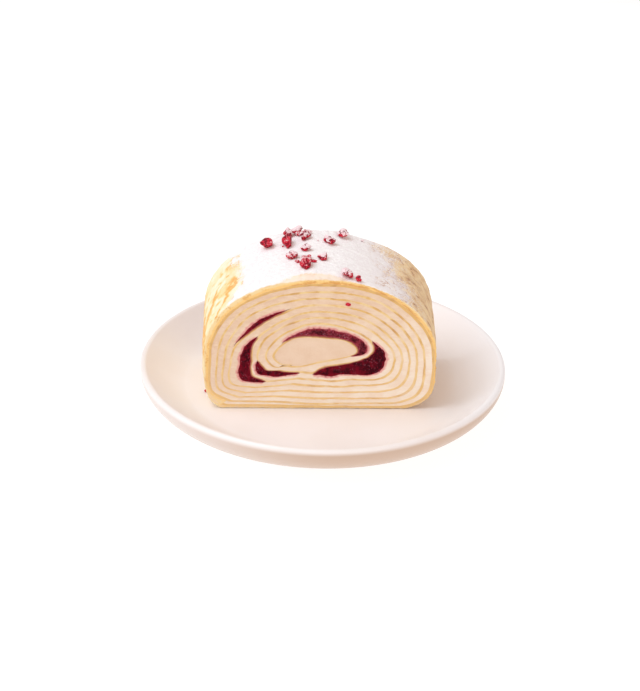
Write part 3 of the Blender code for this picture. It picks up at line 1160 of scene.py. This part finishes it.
@dataclass
class RolledLayer:
    """A layer between two faces of the roll, running from the front cut to the back cut.

    It starts and ends at a number of turns from the seam. Its outer face may be that of an earlier
    turn. Across is its number of cells from face to face, and a step is a cell's length along it.
    The bleed is how far in from its face the jam has stained it.
    """

    roll: Roll
    name: str
    slot: str
    finish: Finish
    texture: CutTexture
    outer: Face
    inner: Face
    start: float
    end: float
    across: int
    outer_back: float = 0.0
    step: float = 0.6
    bleed: float = 1.2
    rim_width: float = 0.9
    toasted_until: tuple[float, float] = (0.95, 1.1)

    def place(self, spot: Vector) -> tuple[Vector, Values]:
        """Where a corner of the unit block goes, and what the mesh carries there.

        Args:
            spot: share along the layer, across it and from front to back.

        Returns:
            The position, and the values run, across, stain, rim and toast.
        """
        roll = self.roll
        winding = mix(self.start, self.end, spot.x)
        depth = spot.z * roll.depth
        outer = roll.radius(self.outer, winding - self.outer_back, depth)
        inner = roll.radius(self.inner, winding, depth)
        across, up = roll.on_cut(winding, mix(outer, inner, spot.y))
        proud = self.texture.height(across, up, spot.z)
        behind = depth + (proud if spot.z > 0.5 else -proud)
        jam = roll.jam(winding)
        thickness = max(outer - inner, 0.01)
        near = (1.0 - spot.y) if self.inner is Face.JAM_OUTER else spot.y
        stain = smooth(jam, 0.0, 0.7) * (1.0 - smooth(near * thickness, 0.0, self.bleed))
        values: Values = {
            "run": Vector((roll.length(winding), spot.y * thickness, depth)),
            "across": spot.y,
            "stain": stain,
            "rim": 1.0 - smooth(min(spot.y, 1.0 - spot.y) * thickness, 0.0, self.rim_width),
            "toast": 1.0 - smooth(winding, *self.toasted_until),
        }
        return roll.place(across, up, behind), values

    def build(self) -> bpy.types.Object:
        """The finished layer."""
        length = self.roll.length(self.end) - self.roll.length(self.start)
        shape = shaped(block(max(int(length / self.step), 8), self.across), self.place)
        return show(shape, self.name + "_layer", self.finish, (self.name,), self.slot)


def roll_layers(roll: Roll) -> list[RolledLayer]:
    """The sheets of the roll.

    Args:
        roll: the roll.

    Returns:
        Crepe, cream and the streaks of jam.
    """
    turns = float(roll.section.turns)
    layers = [
        RolledLayer(
            roll, "crepe", "crepe", CutCrepe(), CutTexture(0.1, 0.12, 6.0, 0.1, 0.9),
            Face.CREPE_OUTER, Face.CREPE_INNER, 0.0, turns, 3,
        ),
        RolledLayer(
            roll, "cream", "cream", Cream(), CutTexture(0.0, 0.16, 5.0, 0.07, 1.1),
            Face.CREPE_INNER, Face.JAM_OUTER, 1.0, turns - 0.02, 8, outer_back=1.0, bleed=1.9,
        ),
    ]
    for name, turn, profile in roll.section.jam:
        start, end = (turn + roll.winding_at(profile[i][0]) for i in (0, -1))
        frost, bloom = (0.6, 0.4) if name == "jam_band" else (0.3, 0.0)
        layers.append(
            RolledLayer(
                roll, name, "jam", Jam(f"{name}_berry_jam", frost, bloom),
                CutTexture(-0.1, 0.2, 3.0, 0.14, 0.8), Face.JAM_OUTER, Face.CREPE_OUTER,
                start, end, 10, step=0.35,
            )
        )
    return layers


@dataclass
class CustardHeart:
    """The custard inside the innermost turn of the crepe."""

    roll: Roll
    finish: Finish = Custard()
    texture: CutTexture = CutTexture(-0.05, 0.1, 8.0, 0.03, 1.0)
    cells: int = 44

    def place(self, spot: Vector) -> tuple[Vector, Values]:
        """Where a corner of the unit block goes: the square is drawn out to a disc.

        Args:
            spot: place in the square and the share from front to back.

        Returns:
            The position and no values.
        """
        x, y = 2.0 * spot.x - 1.0, 2.0 * spot.y - 1.0
        share = max(abs(x), abs(y))
        bend = math.degrees(math.atan2(y, x)) if share > 0.0 else 0.0
        roll = self.roll
        winding = roll.section.turns - 1 + roll.winding_at(bend) % 1.0
        depth = spot.z * roll.depth
        reach = roll.radius(Face.CREPE_INNER, winding, depth)
        across, up = roll.on_cut(winding, share * reach)
        proud = self.texture.height(across, up, spot.z)
        return roll.place(across, up, depth + (proud if spot.z > 0.5 else -proud)), {}

    def build(self) -> bpy.types.Object:
        """The finished custard."""
        shape = shaped(block(self.cells, self.cells), self.place)
        return show(shape, "custard_layer", self.finish, ("custard",), "custard")


@dataclass(frozen=True)
class Dusting:
    """Where sugar lies on the skin: between its two ragged limits, behind a bare front band.

    The limits are angles round the middle; the left one dips halfway back, the right one slants.
    """

    depth: float
    band_width: float = 5.6
    band_bare: float = 0.9
    left_limit: float = 154.0
    left_dip: float = 9.0
    right_limits: tuple[float, float] = (8.0, 56.0)
    right_slant: float = 0.22

    def bare_band(self, angle: float, behind: float) -> float:
        """How much a place belongs to the bare, smooth band along the front of the top.

        Args:
            angle: angle round the roll's middle.
            behind: distance behind the front cut.

        Returns:
            From 0 away from the band to its full share within it.
        """
        reach = smooth(angle, 52.0, 84.0) * (1.0 - smooth(angle, 98.0, 132.0))
        width = self.band_width * reach + 0.6 * rough((angle, 0.0, 0.0), 7.0, 23.0)
        inside = 1.0 - smooth(behind, width - 4.0, width + 0.8)
        return self.band_bare * smooth(reach, 0.0, 0.7) * inside

    def cover(self, angle: float, behind: float) -> float:
        """How much sugar lies on the skin.

        Args:
            angle: angle round the roll's middle.
            behind: distance behind the front cut.

        Returns:
            From 0 on bare skin to 1 where it is covered.
        """
        at = (angle * 0.8, behind, 0.0)
        wander = 8.0 * rough(at, 13.0, 21.0) + 6.0 * rough(at, 4.0, 22.0) + 4.0 * rough(at, 1.5, 26.0)
        limit = self.left_limit - self.left_dip * math.sin(math.pi * min(behind / self.depth, 1.0))
        left = 1.0 - smooth(angle + 0.8 * wander, limit - 17.0, limit + 6.0)
        right = smooth(angle + 1.2 * wander - self.right_slant * behind, *self.right_limits)
        return left * right * (1.0 - self.bare_band(angle, behind))


@dataclass
class OuterSkin:
    """The outer crepe: a wrinkled, veined skin round the roll, browned on its outside.

    Its profiles give a value at angles round the middle. Bulge and sag shape it, the bevel rounds
    its front edge, lined is where its veins show, shaded is its browner right side, partly browning
    and partly painted shade, and browned is the crust of its cut edge.
    """

    roll: Roll
    dusting: Dusting
    finish: Finish = Skin()
    columns: int = 470
    rows: int = 88
    cuts: int = 4
    vein_height: float = 0.22
    swell_height: float = 0.28
    bulge: Profile = ((160, 0), (172, 0.3), (188, 0.6), (200, 0.5), (212, 0))
    sag: Profile = ((20, 0), (38, 0.6), (58, 0.7), (76, 0), (110, 0), (150, 0.3), (178, 0))
    browned: Profile = (
        (-148, 0.1), (-110, 0.1), (-50, 0.2), (-10, 0.5), (40, 0.8), (80, 0.9),
        (110, 0.7), (135, 0.35), (150, 0.1), (190, 0.05), (213, 0.05),
    )
    shaded: Profile = ((-60, 0.2), (-20, 0.8), (20, 1), (50, 0.9), (80, 0.1), (100, 0))
    lined: Profile = (
        (-60, 0), (-30, 0.3), (0, 0.35), (16, 0.65), (40, 0.9), (120, 1), (185, 1), (205, 0.5), (220, 0),
    )
    bevel: Profile = ((58, 0), (78, 0.8), (94, 1), (112, 0.8), (132, 0.3), (150, 0))
    line_gap: float = 7.0
    line_stretch: float = 0.2
    line_width: float = 0.24
    left_lean: float = math.radians(38.0)
    right_lean: float = math.radians(-80.0)
    ragged: tuple[float, float] = (0.34, 0.26)
    cut_grain: float = 0.14
    cut_shrink: float = 0.05
    cut_crust: float = 0.18
    crust_reach: tuple[float, float] = (0.5, 1.7)

    def vein(self, angle: float, length: float, behind: float) -> float:
        """How much of a wrinkle there is at a place on the skin.

        Args:
            angle: angle round the middle; the wrinkles lean one way on each side of the dome.
            length: distance round the skin from the seam.
            behind: distance behind the front cut.

        Returns:
            From 0 between wrinkles to 1 on a wrinkle's crest.
        """
        at = (length, behind, 0.0)
        lean = self.left_lean if angle > 90.0 else self.right_lean
        crosswise = length * math.cos(lean) + behind * math.sin(lean)
        lengthwise = behind * math.cos(lean) - length * math.sin(lean)
        ridge = rough((crosswise, self.line_stretch * lengthwise, 0.0), self.line_gap, 6.0)
        ridge = abs(ridge + 0.24 * rough(at, 3.0, 6.5) + 0.1 * rough(at, 1.2, 7.0))
        strength = smooth(rough(at, 13.0, 8.0), -0.6, 0.1)
        blots = smooth(rough(at, 3.0, 9.0), 0.3, 0.6)
        return min((1.0 - smooth(ridge, 0.0, self.line_width)) * strength + 0.6 * blots, 1.0)

    def rise(self, winding: float, behind: float) -> float:
        """How far the skin stands out of the plain outline.

        Args:
            winding: share round the roll from the seam.
            behind: distance behind the front cut.

        Returns:
            Height in millimetres, below zero where it lies in.
        """
        angle = self.roll.angle(winding)
        length = self.roll.round_at(winding)
        along = self.roll.section.along
        free = smooth(angle, -35.0, -15.0) * (1.0 - smooth(angle, 196.0, 208.0))
        swell = self.swell_height * rough((length, behind, 0.0), 13.0, 5.0) - 0.15
        crease = 0.08 * rough((length, behind, 0.0), 2.2, 5.5)
        fine = free * (swell + crease + self.vein_height * self.vein(angle, length, behind) - 0.1)
        belly = along(self.bulge, angle) * smooth(behind, 0.0, 6.0) * (1.0 - smooth(behind, 10.0, 42.0))
        fall = along(self.sag, angle) * smooth(behind, 8.0, 44.0)
        edge, coarse, small = (length, 0.0, 3.0), *self.ragged
        ragged = coarse * rough(edge, 2.4, 14.0) + small * rough(edge, 0.9, 14.0)
        ragged *= 1.0 - smooth(behind, 0.0, 2.0)
        return fine + belly - fall + ragged - along(self.bevel, angle) * (1.0 - smooth(behind, 0.0, 5.0))

    def surface(self, winding: float, behind: float, lift: float = 0.0) -> Vector:
        """A point on the skin, or a lift above it, in the row's frame."""
        radius = self.roll.radius(Face.OUTSIDE, winding, behind)
        across, up = self.roll.on_cut(winding, radius + self.rise(winding, behind) + lift)
        return self.roll.place(across, max(up, -self.roll.rest_gap), behind)

    def place(self, spot: Vector) -> tuple[Vector, Values]:
        """Where a corner of the unit block goes: round the roll, back, and in through the skin.

        Args:
            spot: share round the roll, from front to back, and in from the skin.

        Returns:
            The position, and the values run, vein, edge, inward, crust, bake, low, dust and band.
        """
        roll = self.roll
        angle = roll.angle(spot.x)
        behind = spot.y * roll.depth
        length = roll.round_at(spot.x)
        outer = roll.off_plate(self.surface(spot.x, behind))
        inner = roll.on_cut(spot.x, roll.radius(Face.CREPE_OUTER, spot.x, behind))
        across, up = mix(outer[0], inner[0], spot.z), mix(outer[1], inner[1], spot.z)
        cut = 0.0
        if spot.y in (0.0, 1.0):
            cut = self.cut_grain * rough((across, up, 40.0 * spot.y), 1.6, 12.0) - self.cut_shrink
            cut -= self.cut_crust * (1.0 - smooth(spot.z, 0.0, 0.35))
        side = -1.0 if spot.y < 0.5 else 1.0
        on_skin = spot.z < 0.01
        values: Values = {
            "run": Vector((length, behind, 6.0 * spot.z)),
            "vein": self.vein(angle, length, behind) * roll.section.along(self.lined, angle),
            "edge": 0.0 if on_skin else 1.0,
            "inward": 1.0 - smooth(math.hypot(across - inner[0], up - inner[1]), *self.crust_reach),
            "crust": roll.section.along(self.browned, angle),
            # browning together with painted shade on the right side
            "browning_and_shade": roll.section.along(self.shaded, angle),
            "low": smooth(angle, 150.0, 205.0) if angle > 100.0 else 0.5,
            "dust": self.dusting.cover(angle, behind) if on_skin else 0.0,
            "band": self.dusting.bare_band(angle, behind) if on_skin else 0.0,
        }
        return roll.place(across, up, behind + side * cut), values

    def build(self) -> bpy.types.Object:
        """The finished skin."""
        shape = shaped(block(self.columns, self.rows, self.cuts), self.place)
        return show(shape, "outer_crepe_skin", self.finish, ("outer_crepe",), "outer_crepe")


@dataclass
class SugarCoat:
    """Powdered sugar lying on the dome, thick on top and ragged at its borders.

    Where none lies, the coat is sunk under the skin.
    """

    skin: OuterSkin
    finish: Finish = Sugar()
    columns: int = 340
    rows: int = 124
    right_angle: float = 12.0
    left_angle: float = 160.0
    thickness: float = 0.45
    sunk: float = 0.22
    sunk_ends: float = 0.3
    overhang: float = 0.35

    def place(self, spot: Vector) -> tuple[Vector, Values]:
        """Where a corner of the unit block goes: round the dome, back, and down into the skin.

        Args:
            spot: share round the dome, from front to back, and from the top face to the lower.

        Returns:
            The position, and the values cover and bake.
        """
        roll = self.skin.roll
        angle = mix(self.right_angle, self.left_angle, spot.x)
        winding = roll.winding_at(angle)
        behind = spot.y * roll.depth
        crease = self.skin.vein(angle, roll.round_at(winding), behind)
        cover = self.skin.dusting.cover(angle, behind)
        cover -= 0.6 * crease * (1.0 - smooth(angle, 40.0, 60.0))
        at = (angle * 0.75, behind, 0.0)
        grain = 0.5 * rough(at, 0.9, 24.0) + 0.3 * rough(at, 2.6, 25.0)
        lift = -self.sunk
        if spot.z < 0.5:
            lift += max(cover + 0.55 * grain * (1.1 - 0.7 * cover), 0.0) * self.thickness
            ends = min(spot.y, 1.0 - spot.y) * roll.depth
            lift = mix(-self.sunk_ends, lift, smooth(ends, 0.0, 0.9))
        inset = self.overhang * (1.0 - 2.0 * spot.y) if spot.y in (0.0, 1.0) else 0.0
        # browning together with painted shade on the right side
        shade = roll.section.along(self.skin.shaded, angle)
        return self.skin.surface(winding, behind + inset, lift), {"cover": cover, "browning_and_shade": shade}

    def build(self) -> bpy.types.Object:
        """The finished coat."""
        shape = shaped(block(self.columns, self.rows), self.place)
        return show(shape, "sugar_coat", self.finish, sharp=70.0)


# ---------------------------------------------------------------- berries


@dataclass(frozen=True)
class Lump:
    """One rounded drupelet of a berry piece, in a space from -1 to 1."""

    centre: Vector
    radius: float

    def reach(self, way: Vector) -> float:
        """How far out its skin is along a direction, or 0 where the line misses it."""
        along = way.dot(self.centre)
        inside = self.radius**2 - (self.centre.length_squared - along * along)
        return max(along + math.sqrt(inside), 0.0) if inside > 0.0 else 0.0


def random_way(chance: random.Random) -> Vector:
    """A direction drawn at random."""
    return Vector([chance.uniform(-1.0, 1.0) for _ in range(3)]).normalized()


@dataclass
class BerryPiece:
    """A broken piece of freeze-dried berry: a few drupelets with flat broken faces.

    It fills the box from low to high. Its form is laid out in a space from -1 to 1.
    """

    name: str
    low: Vector
    high: Vector
    seed: int
    frost: float
    finish: Finish = Berry()
    fineness: int = 5
    core: float = 0.5
    knobs: tuple[int, int] = (5, 8)
    knob_place: tuple[float, float] = (0.34, 0.56)
    knob_radius: tuple[float, float] = (0.34, 0.5)
    flats: tuple[int, int] = (2, 4)
    flat_place: tuple[float, float] = (0.4, 0.62)
    groove: float = 0.16
    broken_hollow: float = 0.35

    def lumps(self, chance: random.Random) -> list[Lump]:
        """Its drupelets.

        Args:
            chance: where its numbers are drawn.

        Returns:
            A core and several knobs round it.
        """
        found = [Lump(Vector((0.0, 0.0, 0.0)), self.core)]
        for _ in range(chance.randint(*self.knobs)):
            way = random_way(chance)
            found.append(Lump(way * chance.uniform(*self.knob_place), chance.uniform(*self.knob_radius)))
        return found

    def breaks(self, chance: random.Random) -> list[tuple[Vector, float]]:
        """Its flat broken faces.

        Args:
            chance: where its numbers are drawn.

        Returns:
            Each face's direction and its distance out.
        """
        count = chance.randint(*self.flats)
        return [(random_way(chance), chance.uniform(*self.flat_place)) for _ in range(count)]

    def surface(
        self, way: Vector, lumps: list[Lump], breaks: list[tuple[Vector, float]]
    ) -> tuple[Vector, float]:
        """The surface along a direction.

        Args:
            way: the direction.
            lumps: its drupelets.
            breaks: its flat faces.

        Returns:
            The point, and from 0 to 1 how much it lies in a groove.
        """
        reaches = sorted((lump.reach(way) for lump in lumps), reverse=True)
        radius = reaches[0]
        hollow = 1.0 - smooth(reaches[0] - reaches[1], 0.0, self.groove)
        for face, distance in breaks:
            lean = way.dot(face)
            if lean > 0.05 and distance / lean < radius:
                radius = distance / lean
                hollow = max(hollow, self.broken_hollow)
        radius *= 1.0 + 0.05 * rough(way * 10.0, 2.2, self.seed) + 0.03 * rough(way * 10.0, 0.8, 2.0)
        return way * radius, hollow

    def build(self) -> bpy.types.Object:
        """The finished piece, fitted into its box."""
        chance = random.Random(self.seed)
        lumps = self.lumps(chance)
        breaks = self.breaks(chance)
        shape = bmesh.new()
        bmesh.ops.create_icosphere(shape, subdivisions=self.fineness, radius=1.0)
        rows = [self.surface(vert.co.normalized(), lumps, breaks) for vert in shape.verts]
        least = Vector([min(spot[i] for spot, _ in rows) for i in range(3)])
        most = Vector([max(spot[i] for spot, _ in rows) for i in range(3)])
        size = self.high - self.low

        def fitted(index: int) -> tuple[Vector, Values]:
            """Puts a corner in the piece's box.

            Args:
                index: the corner's place in the list.

            Returns:
                Its position, and the values hollow and frost.
            """
            spot, hollow = rows[index]
            part = Vector([(spot[i] - least[i]) / (most[i] - least[i]) for i in range(3)])
            patch = 0.5 * rough(spot * 10.0, 5.0, self.seed + 0.5)
            frost = self.frost * smooth(part.z, 0.25, 0.85) * (1.0 - 0.4 * hollow)
            place = self.low + Vector([part[i] * size[i] for i in range(3)])
            return place, {"hollow": hollow, "frost": frost + patch * self.frost}

        order = iter(range(len(rows)))
        shaped(shape, lambda _: fitted(next(order)))
        return show(shape, self.name + "_piece", self.finish, (self.name,), "berry", sharp=60.0)


@dataclass
class Berries:
    """The berry pieces of the model, each more or less frosted with sugar."""

    frosts: tuple[float, ...] = (0.3, 0.7, 1.2, 0.8, 0.3, 1.1, 0.7, 0.5, 1.2, 0.8, 1.0, 0.9, 0.4)
    spare: float = 0.08
    first_seed: int = 30

    def build(self) -> None:
        """Adds every piece."""
        for i, frost in enumerate(self.frosts, 1):
            name = f"berry_{i:02d}"
            low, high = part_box(name)
            spare = (high - low) * self.spare
            low, high = low - spare, Vector((high.x + spare.x, high.y + spare.y, high.z))
            BerryPiece(name, low, high, self.first_seed + i, frost).build()


@dataclass(frozen=True)
class Crumb:
    """A small crumb of berry: its place on the slice, its size in millimetres and its frost."""

    across: float
    up: float
    behind: float
    size: tuple[float, float, float]
    frost: float = 0.0


@dataclass
class BerryCrumbs:
    """Crumbs of berry that lie on the sugar, stick to the front cut or fell on the plate.

    Those on top are given by angle, distance behind the front cut, length, width and frost.
    """

    skin: OuterSkin
    finish: Finish = Berry()
    on_top: tuple[tuple[float, float, float, float, float], ...] = (
        (102.4, 14.0, 2.2, 1.5, 0.5),
        (94.6, 17.2, 2.1, 2.2, 0.4),
        (91.8, 13.8, 3.0, 1.4, 0.1),
        (98.4, 18.6, 1.5, 1.2, 0.6),
        (101.0, 39.0, 3.0, 2.4, 0.5),
        (94.0, 40.0, 2.6, 2.4, 0.9),
        (106.0, 17.6, 0.9, 0.9, 0.3),
        (57.0, 40.0, 1.3, 1.0, 0.9),
        (112.0, 30.5, 0.8, 0.8, 0.4),
        (88.0, 33.0, 0.7, 0.7, 0.5),
    )
    on_cut: Crumb = Crumb(10.3, 47.5, -0.35, (2.0, 0.9, 1.3))
    on_plate: Crumb = Crumb(-46.6, 0.35, 14.0, (1.2, 1.3, 0.9))

    def crumb(self, shape: bmesh.types.BMesh, centre: Vector, size: Sequence[float], seed: int) -> None:
        """Adds one angular crumb.

        Args:
            shape: mesh that it joins.
            centre: its middle, in metres.
            size: its three sizes, in millimetres.
            seed: makes its form.
        """
        made = bmesh.ops.create_icosphere(shape, subdivisions=3, radius=0.5)["verts"]
        for vert in made:
            way = vert.co.normalized()
            factor = 1.0 + 0.35 * rough(way * 10.0, 7.0, seed) + 0.12 * rough(way * 10.0, 3.0, seed)
            vert.co = centre + Vector([way[i] * 0.5 * factor * size[i] * MM for i in range(3)])

    def build(self) -> bpy.types.Object:
        """The finished crumbs, one piece."""
        roll = self.skin.roll
        found = []
        for angle, behind, length, width, frost in self.on_top:
            thick = 0.8 * min(length, width)
            centre = self.skin.surface(roll.winding_at(angle), behind, 0.3 + 0.4 * thick)
            found.append((centre, (length, width, thick), frost))
        for item in (self.on_cut, self.on_plate):
            found.append((roll.place(item.across, item.up, item.behind), item.size, item.frost))
        shape = bmesh.new()
        for seed, (centre, size, _) in enumerate(found):
            self.crumb(shape, centre, size, seed)
        frosts = [frost for _, _, frost in found]
        count = len(shape.verts) // len(frosts)
        order = iter(range(len(shape.verts)))
        shaped(shape, lambda co: (co, {"hollow": 0.0, "frost": frosts[next(order) // count]}))
        return show(shape, "berry_crumbs", self.finish, slot="berry", sharp=60.0)


# ---------------------------------------------------------------- plate, studio


@dataclass
class CoupePlate:
    """The round plate: flat well, sides that curve up to a rolled rim, and a foot ring."""

    finish: Finish = Glaze()
    well_height: float = 8.2
    well_rings: tuple[float, ...] = (0.0, 20.0, 40.0, 50.0)
    well_radius: float = 56.0
    wall_bend: float = 1.7
    wall_thickness: tuple[float, float] = (1.6, 3.0)
    rim_round: float = 1.6
    lip_angle: float = 133.0
    outer_wall_radius: float = 53.0
    foot_outer: float = 50.0
    foot_inner: float = 45.5
    foot_rise: float = 2.0
    foot_flare: float = 0.4
    recess_height: float = 3.0
    recess_flare: float = 0.8
    foot_edge: float = 0.5
    wall_steps: int = 26
    lip_steps: int = 16
    side_steps: int = 24
    steps: int = 192
    # painted shade: its share on the left, where the light falls, and the span across which it grows
    left_shade_share: float = 0.35
    shade_grows_across: tuple[float, float] = (-80.0, 10.0)

    def __post_init__(self) -> None:
        """Finds the middle of the rolled rim from the model's plate."""
        _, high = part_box("plate")
        self.middle_of_rim = (high.x / MM - self.rim_round, high.z / MM - self.rim_round)

    def profile(self) -> list[tuple[float, float]]:
        """Radius and height from the middle of the well over the rim to the recess below."""
        reach, rim = self.middle_of_rim
        outside = reach + self.rim_round
        points = [(r, self.well_height) for r in self.well_rings]
        lip = math.radians(self.lip_angle)
        top = (reach + self.rim_round * math.cos(lip), rim + self.rim_round * math.sin(lip))
        for i in range(self.wall_steps):
            x = i / self.wall_steps
            height = mix(self.well_height, top[1], x**self.wall_bend)
            points.append((mix(self.well_radius, top[0], x), height))
        for i in range(self.lip_steps + 1):
            bend = lip * (1.0 - i / self.lip_steps)
            points.append((reach + self.rim_round * math.cos(bend), rim + self.rim_round * math.sin(bend)))
        for i in range(1, self.side_steps + 1):
            bend = math.radians(90.0 * i / self.side_steps)
            width = (outside - self.outer_wall_radius) * math.cos(bend)
            drop = (rim - self.foot_rise) * math.sin(bend)
            points.append((self.outer_wall_radius + width, rim - drop))
        edge = self.foot_edge
        return points + [
            (self.foot_outer + self.foot_flare, self.foot_rise),
            (self.foot_outer, edge),
            (self.foot_outer - edge, 0.0),
            (self.foot_inner + edge, 0.0),
            (self.foot_inner, edge),
            (self.foot_inner - self.recess_flare, self.recess_height),
            (0.0, self.recess_height),
        ]

    def outside(self, spot: Vector) -> float:
        """How much painted shade a place on the plate's outside has, from 0 to 1.

        Args:
            spot: place on the plate, in metres.

        Returns:
            0 inside and on the rim, and up to 1 below it, less on the left where the light falls.
        """
        reach, rim = self.middle_of_rim
        radius, height = math.hypot(spot.x, spot.y) / MM, spot.z / MM
        x = min(max((height - self.well_height) / (rim - self.well_height), 0.0), 1.0)
        inside = mix(self.well_radius, reach - self.rim_round, x ** (1.0 / self.wall_bend))
        past_wall = smooth(radius - inside, *self.wall_thickness)
        beyond = past_wall if height > self.well_height - 0.1 else 1.0
        shade_share = mix(self.left_shade_share, 1.0, smooth(spot.x / MM, *self.shade_grows_across))
        return beyond * shade_share * (1.0 - smooth(height, rim - 1.0, rim + 1.0))

    def build(self) -> bpy.types.Object:
        """The finished plate, turned from its profile."""
        shape = bmesh.new()
        verts = [shape.verts.new((r * MM, 0.0, z * MM)) for r, z in self.profile()]
        edges = [shape.edges.new(pair) for pair in zip(verts, verts[1:])]
        bmesh.ops.spin(
            shape,
            geom=verts + edges,
            axis=(0.0, 0.0, 1.0),
            cent=(0.0, 0.0, 0.0),
            angle=2.0 * math.pi,
            steps=self.steps,
            use_merge=True,
        )
        bmesh.ops.remove_doubles(shape, verts=shape.verts, dist=0.01 * MM)
        # the outside value is the share of painted shade
        shaped(shape, lambda spot: (spot, {"outside": self.outside(spot)}))
        return show(shape, "coupe_plate", self.finish, ("plate",), "plate", sharp=60.0)


@dataclass(frozen=True)
class Lamp:
    """A square soft light aimed at the slice, placed by its direction from the plate."""

    name: str
    azimuth: float
    elevation: float
    size: float
    power: float
    colour: Colour = (1.0, 1.0, 1.0)
    distance: float = 1.3
    aim_height: float = 0.03

    def build(self) -> None:
        """Adds the light."""
        turn, rise = math.radians(self.azimuth), math.radians(self.elevation)
        level = math.cos(rise)
        way = Vector((level * math.cos(turn), level * math.sin(turn), math.sin(rise)))
        light = bpy.data.lights.new(self.name, "AREA")
        light.size = self.size
        light.energy = self.power
        light.color = self.colour
        lamp = add(self.name, light)
        lamp.location = way * self.distance + Vector((0.0, 0.0, self.aim_height))
        lamp.rotation_euler = way.to_track_quat("Z", "Y").to_euler()


@dataclass
class Studio:
    """Pale floor, soft light from the upper left and a long lens from the front.

    The lens's focal length and the view's longer side are given in the same unit.
    """

    elevation: float = 27.6
    lean: float = 1.15
    distance: float = 1.5
    film: float = 36.0
    focal: float = 3652.0
    long_side: int = 691
    aim_right: float = -1.1
    aim_up: float = 6.8
    floor_reach: float = 3.0
    floor_gap: float = 0.1 * MM
    sky: float = 0.63
    sky_colour: Colour = (1.0, 0.87, 0.775)
    lamps: tuple[Lamp, ...] = (
        Lamp("key", 195.0, 61.0, 0.85, 8.7, (0.86, 1.0, 1.1)),
        Lamp("side", 186.0, 12.0, 0.6, 1.2, (0.86, 1.0, 1.12)),
        Lamp("fill", 288.0, 20.0, 0.9, 2.6),
    )

    def build(self) -> None:
        """Adds floor, lights, world and camera."""
        self.floor()
        self.world()
        for lamp in self.lamps:
            lamp.build()
        self.camera()
        bpy.context.scene.view_settings.view_transform = "Standard"
        LOG.info("studio ready")

    def floor(self) -> None:
        """The pale floor, just under the plate's foot."""
        shape = bmesh.new()
        bmesh.ops.create_grid(shape, x_segments=1, y_segments=1, size=self.floor_reach)
        bmesh.ops.translate(shape, vec=(0.0, 0.0, -self.floor_gap), verts=shape.verts)
        floor = solid(shape, "floor", Paper())

    def world(self) -> None:
        """Even warm light from all round."""
        world = bpy.data.worlds.new("studio")
        world.use_nodes = True
        light = world.node_tree.nodes["Background"]
        light.inputs["Color"].default_value = (*self.sky_colour, 1.0)
        light.inputs["Strength"].default_value = self.sky
        bpy.context.scene.world = world

    def camera(self) -> None:
        """The camera in front, looking down at the plate."""
        _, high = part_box("plate")
        rise = math.radians(self.elevation)
        back = Vector((0.0, -math.cos(rise), math.sin(rise)))
        turned = Matrix.Rotation(math.radians(self.lean), 4, "Z")
        look = back.to_track_quat("Z", "Y").to_matrix().to_4x4() @ turned
        right, up = look.col[0].to_3d(), look.col[1].to_3d()
        aim = Vector((0.0, 0.0, high.z)) + (right * self.aim_right + up * self.aim_up) * MM
        data = bpy.data.cameras.new("camera")
        data.sensor_width = self.film
        data.lens = self.focal / self.long_side * data.sensor_width
        camera = add("camera", data)
        camera.matrix_world = Matrix.Translation(aim + back * self.distance) @ look
        bpy.context.scene.camera = camera


def main() -> None:
    """Builds every piece round the frame."""
    logging.basicConfig(level=logging.INFO, format="%(message)s")
    for obj in list(bpy.data.objects):
        bpy.data.objects.remove(obj)
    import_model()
    roll = Roll(RollSection())
    CoupePlate().build()
    for layer in roll_layers(roll):
        layer.build()
    CustardHeart(roll).build()
    skin = OuterSkin(roll, Dusting(roll.depth))
    skin.build()
    SugarCoat(skin).build()
    Berries().build()
    BerryCrumbs(skin).build()
    Studio().build()


if __name__ == "__main__":
    main()
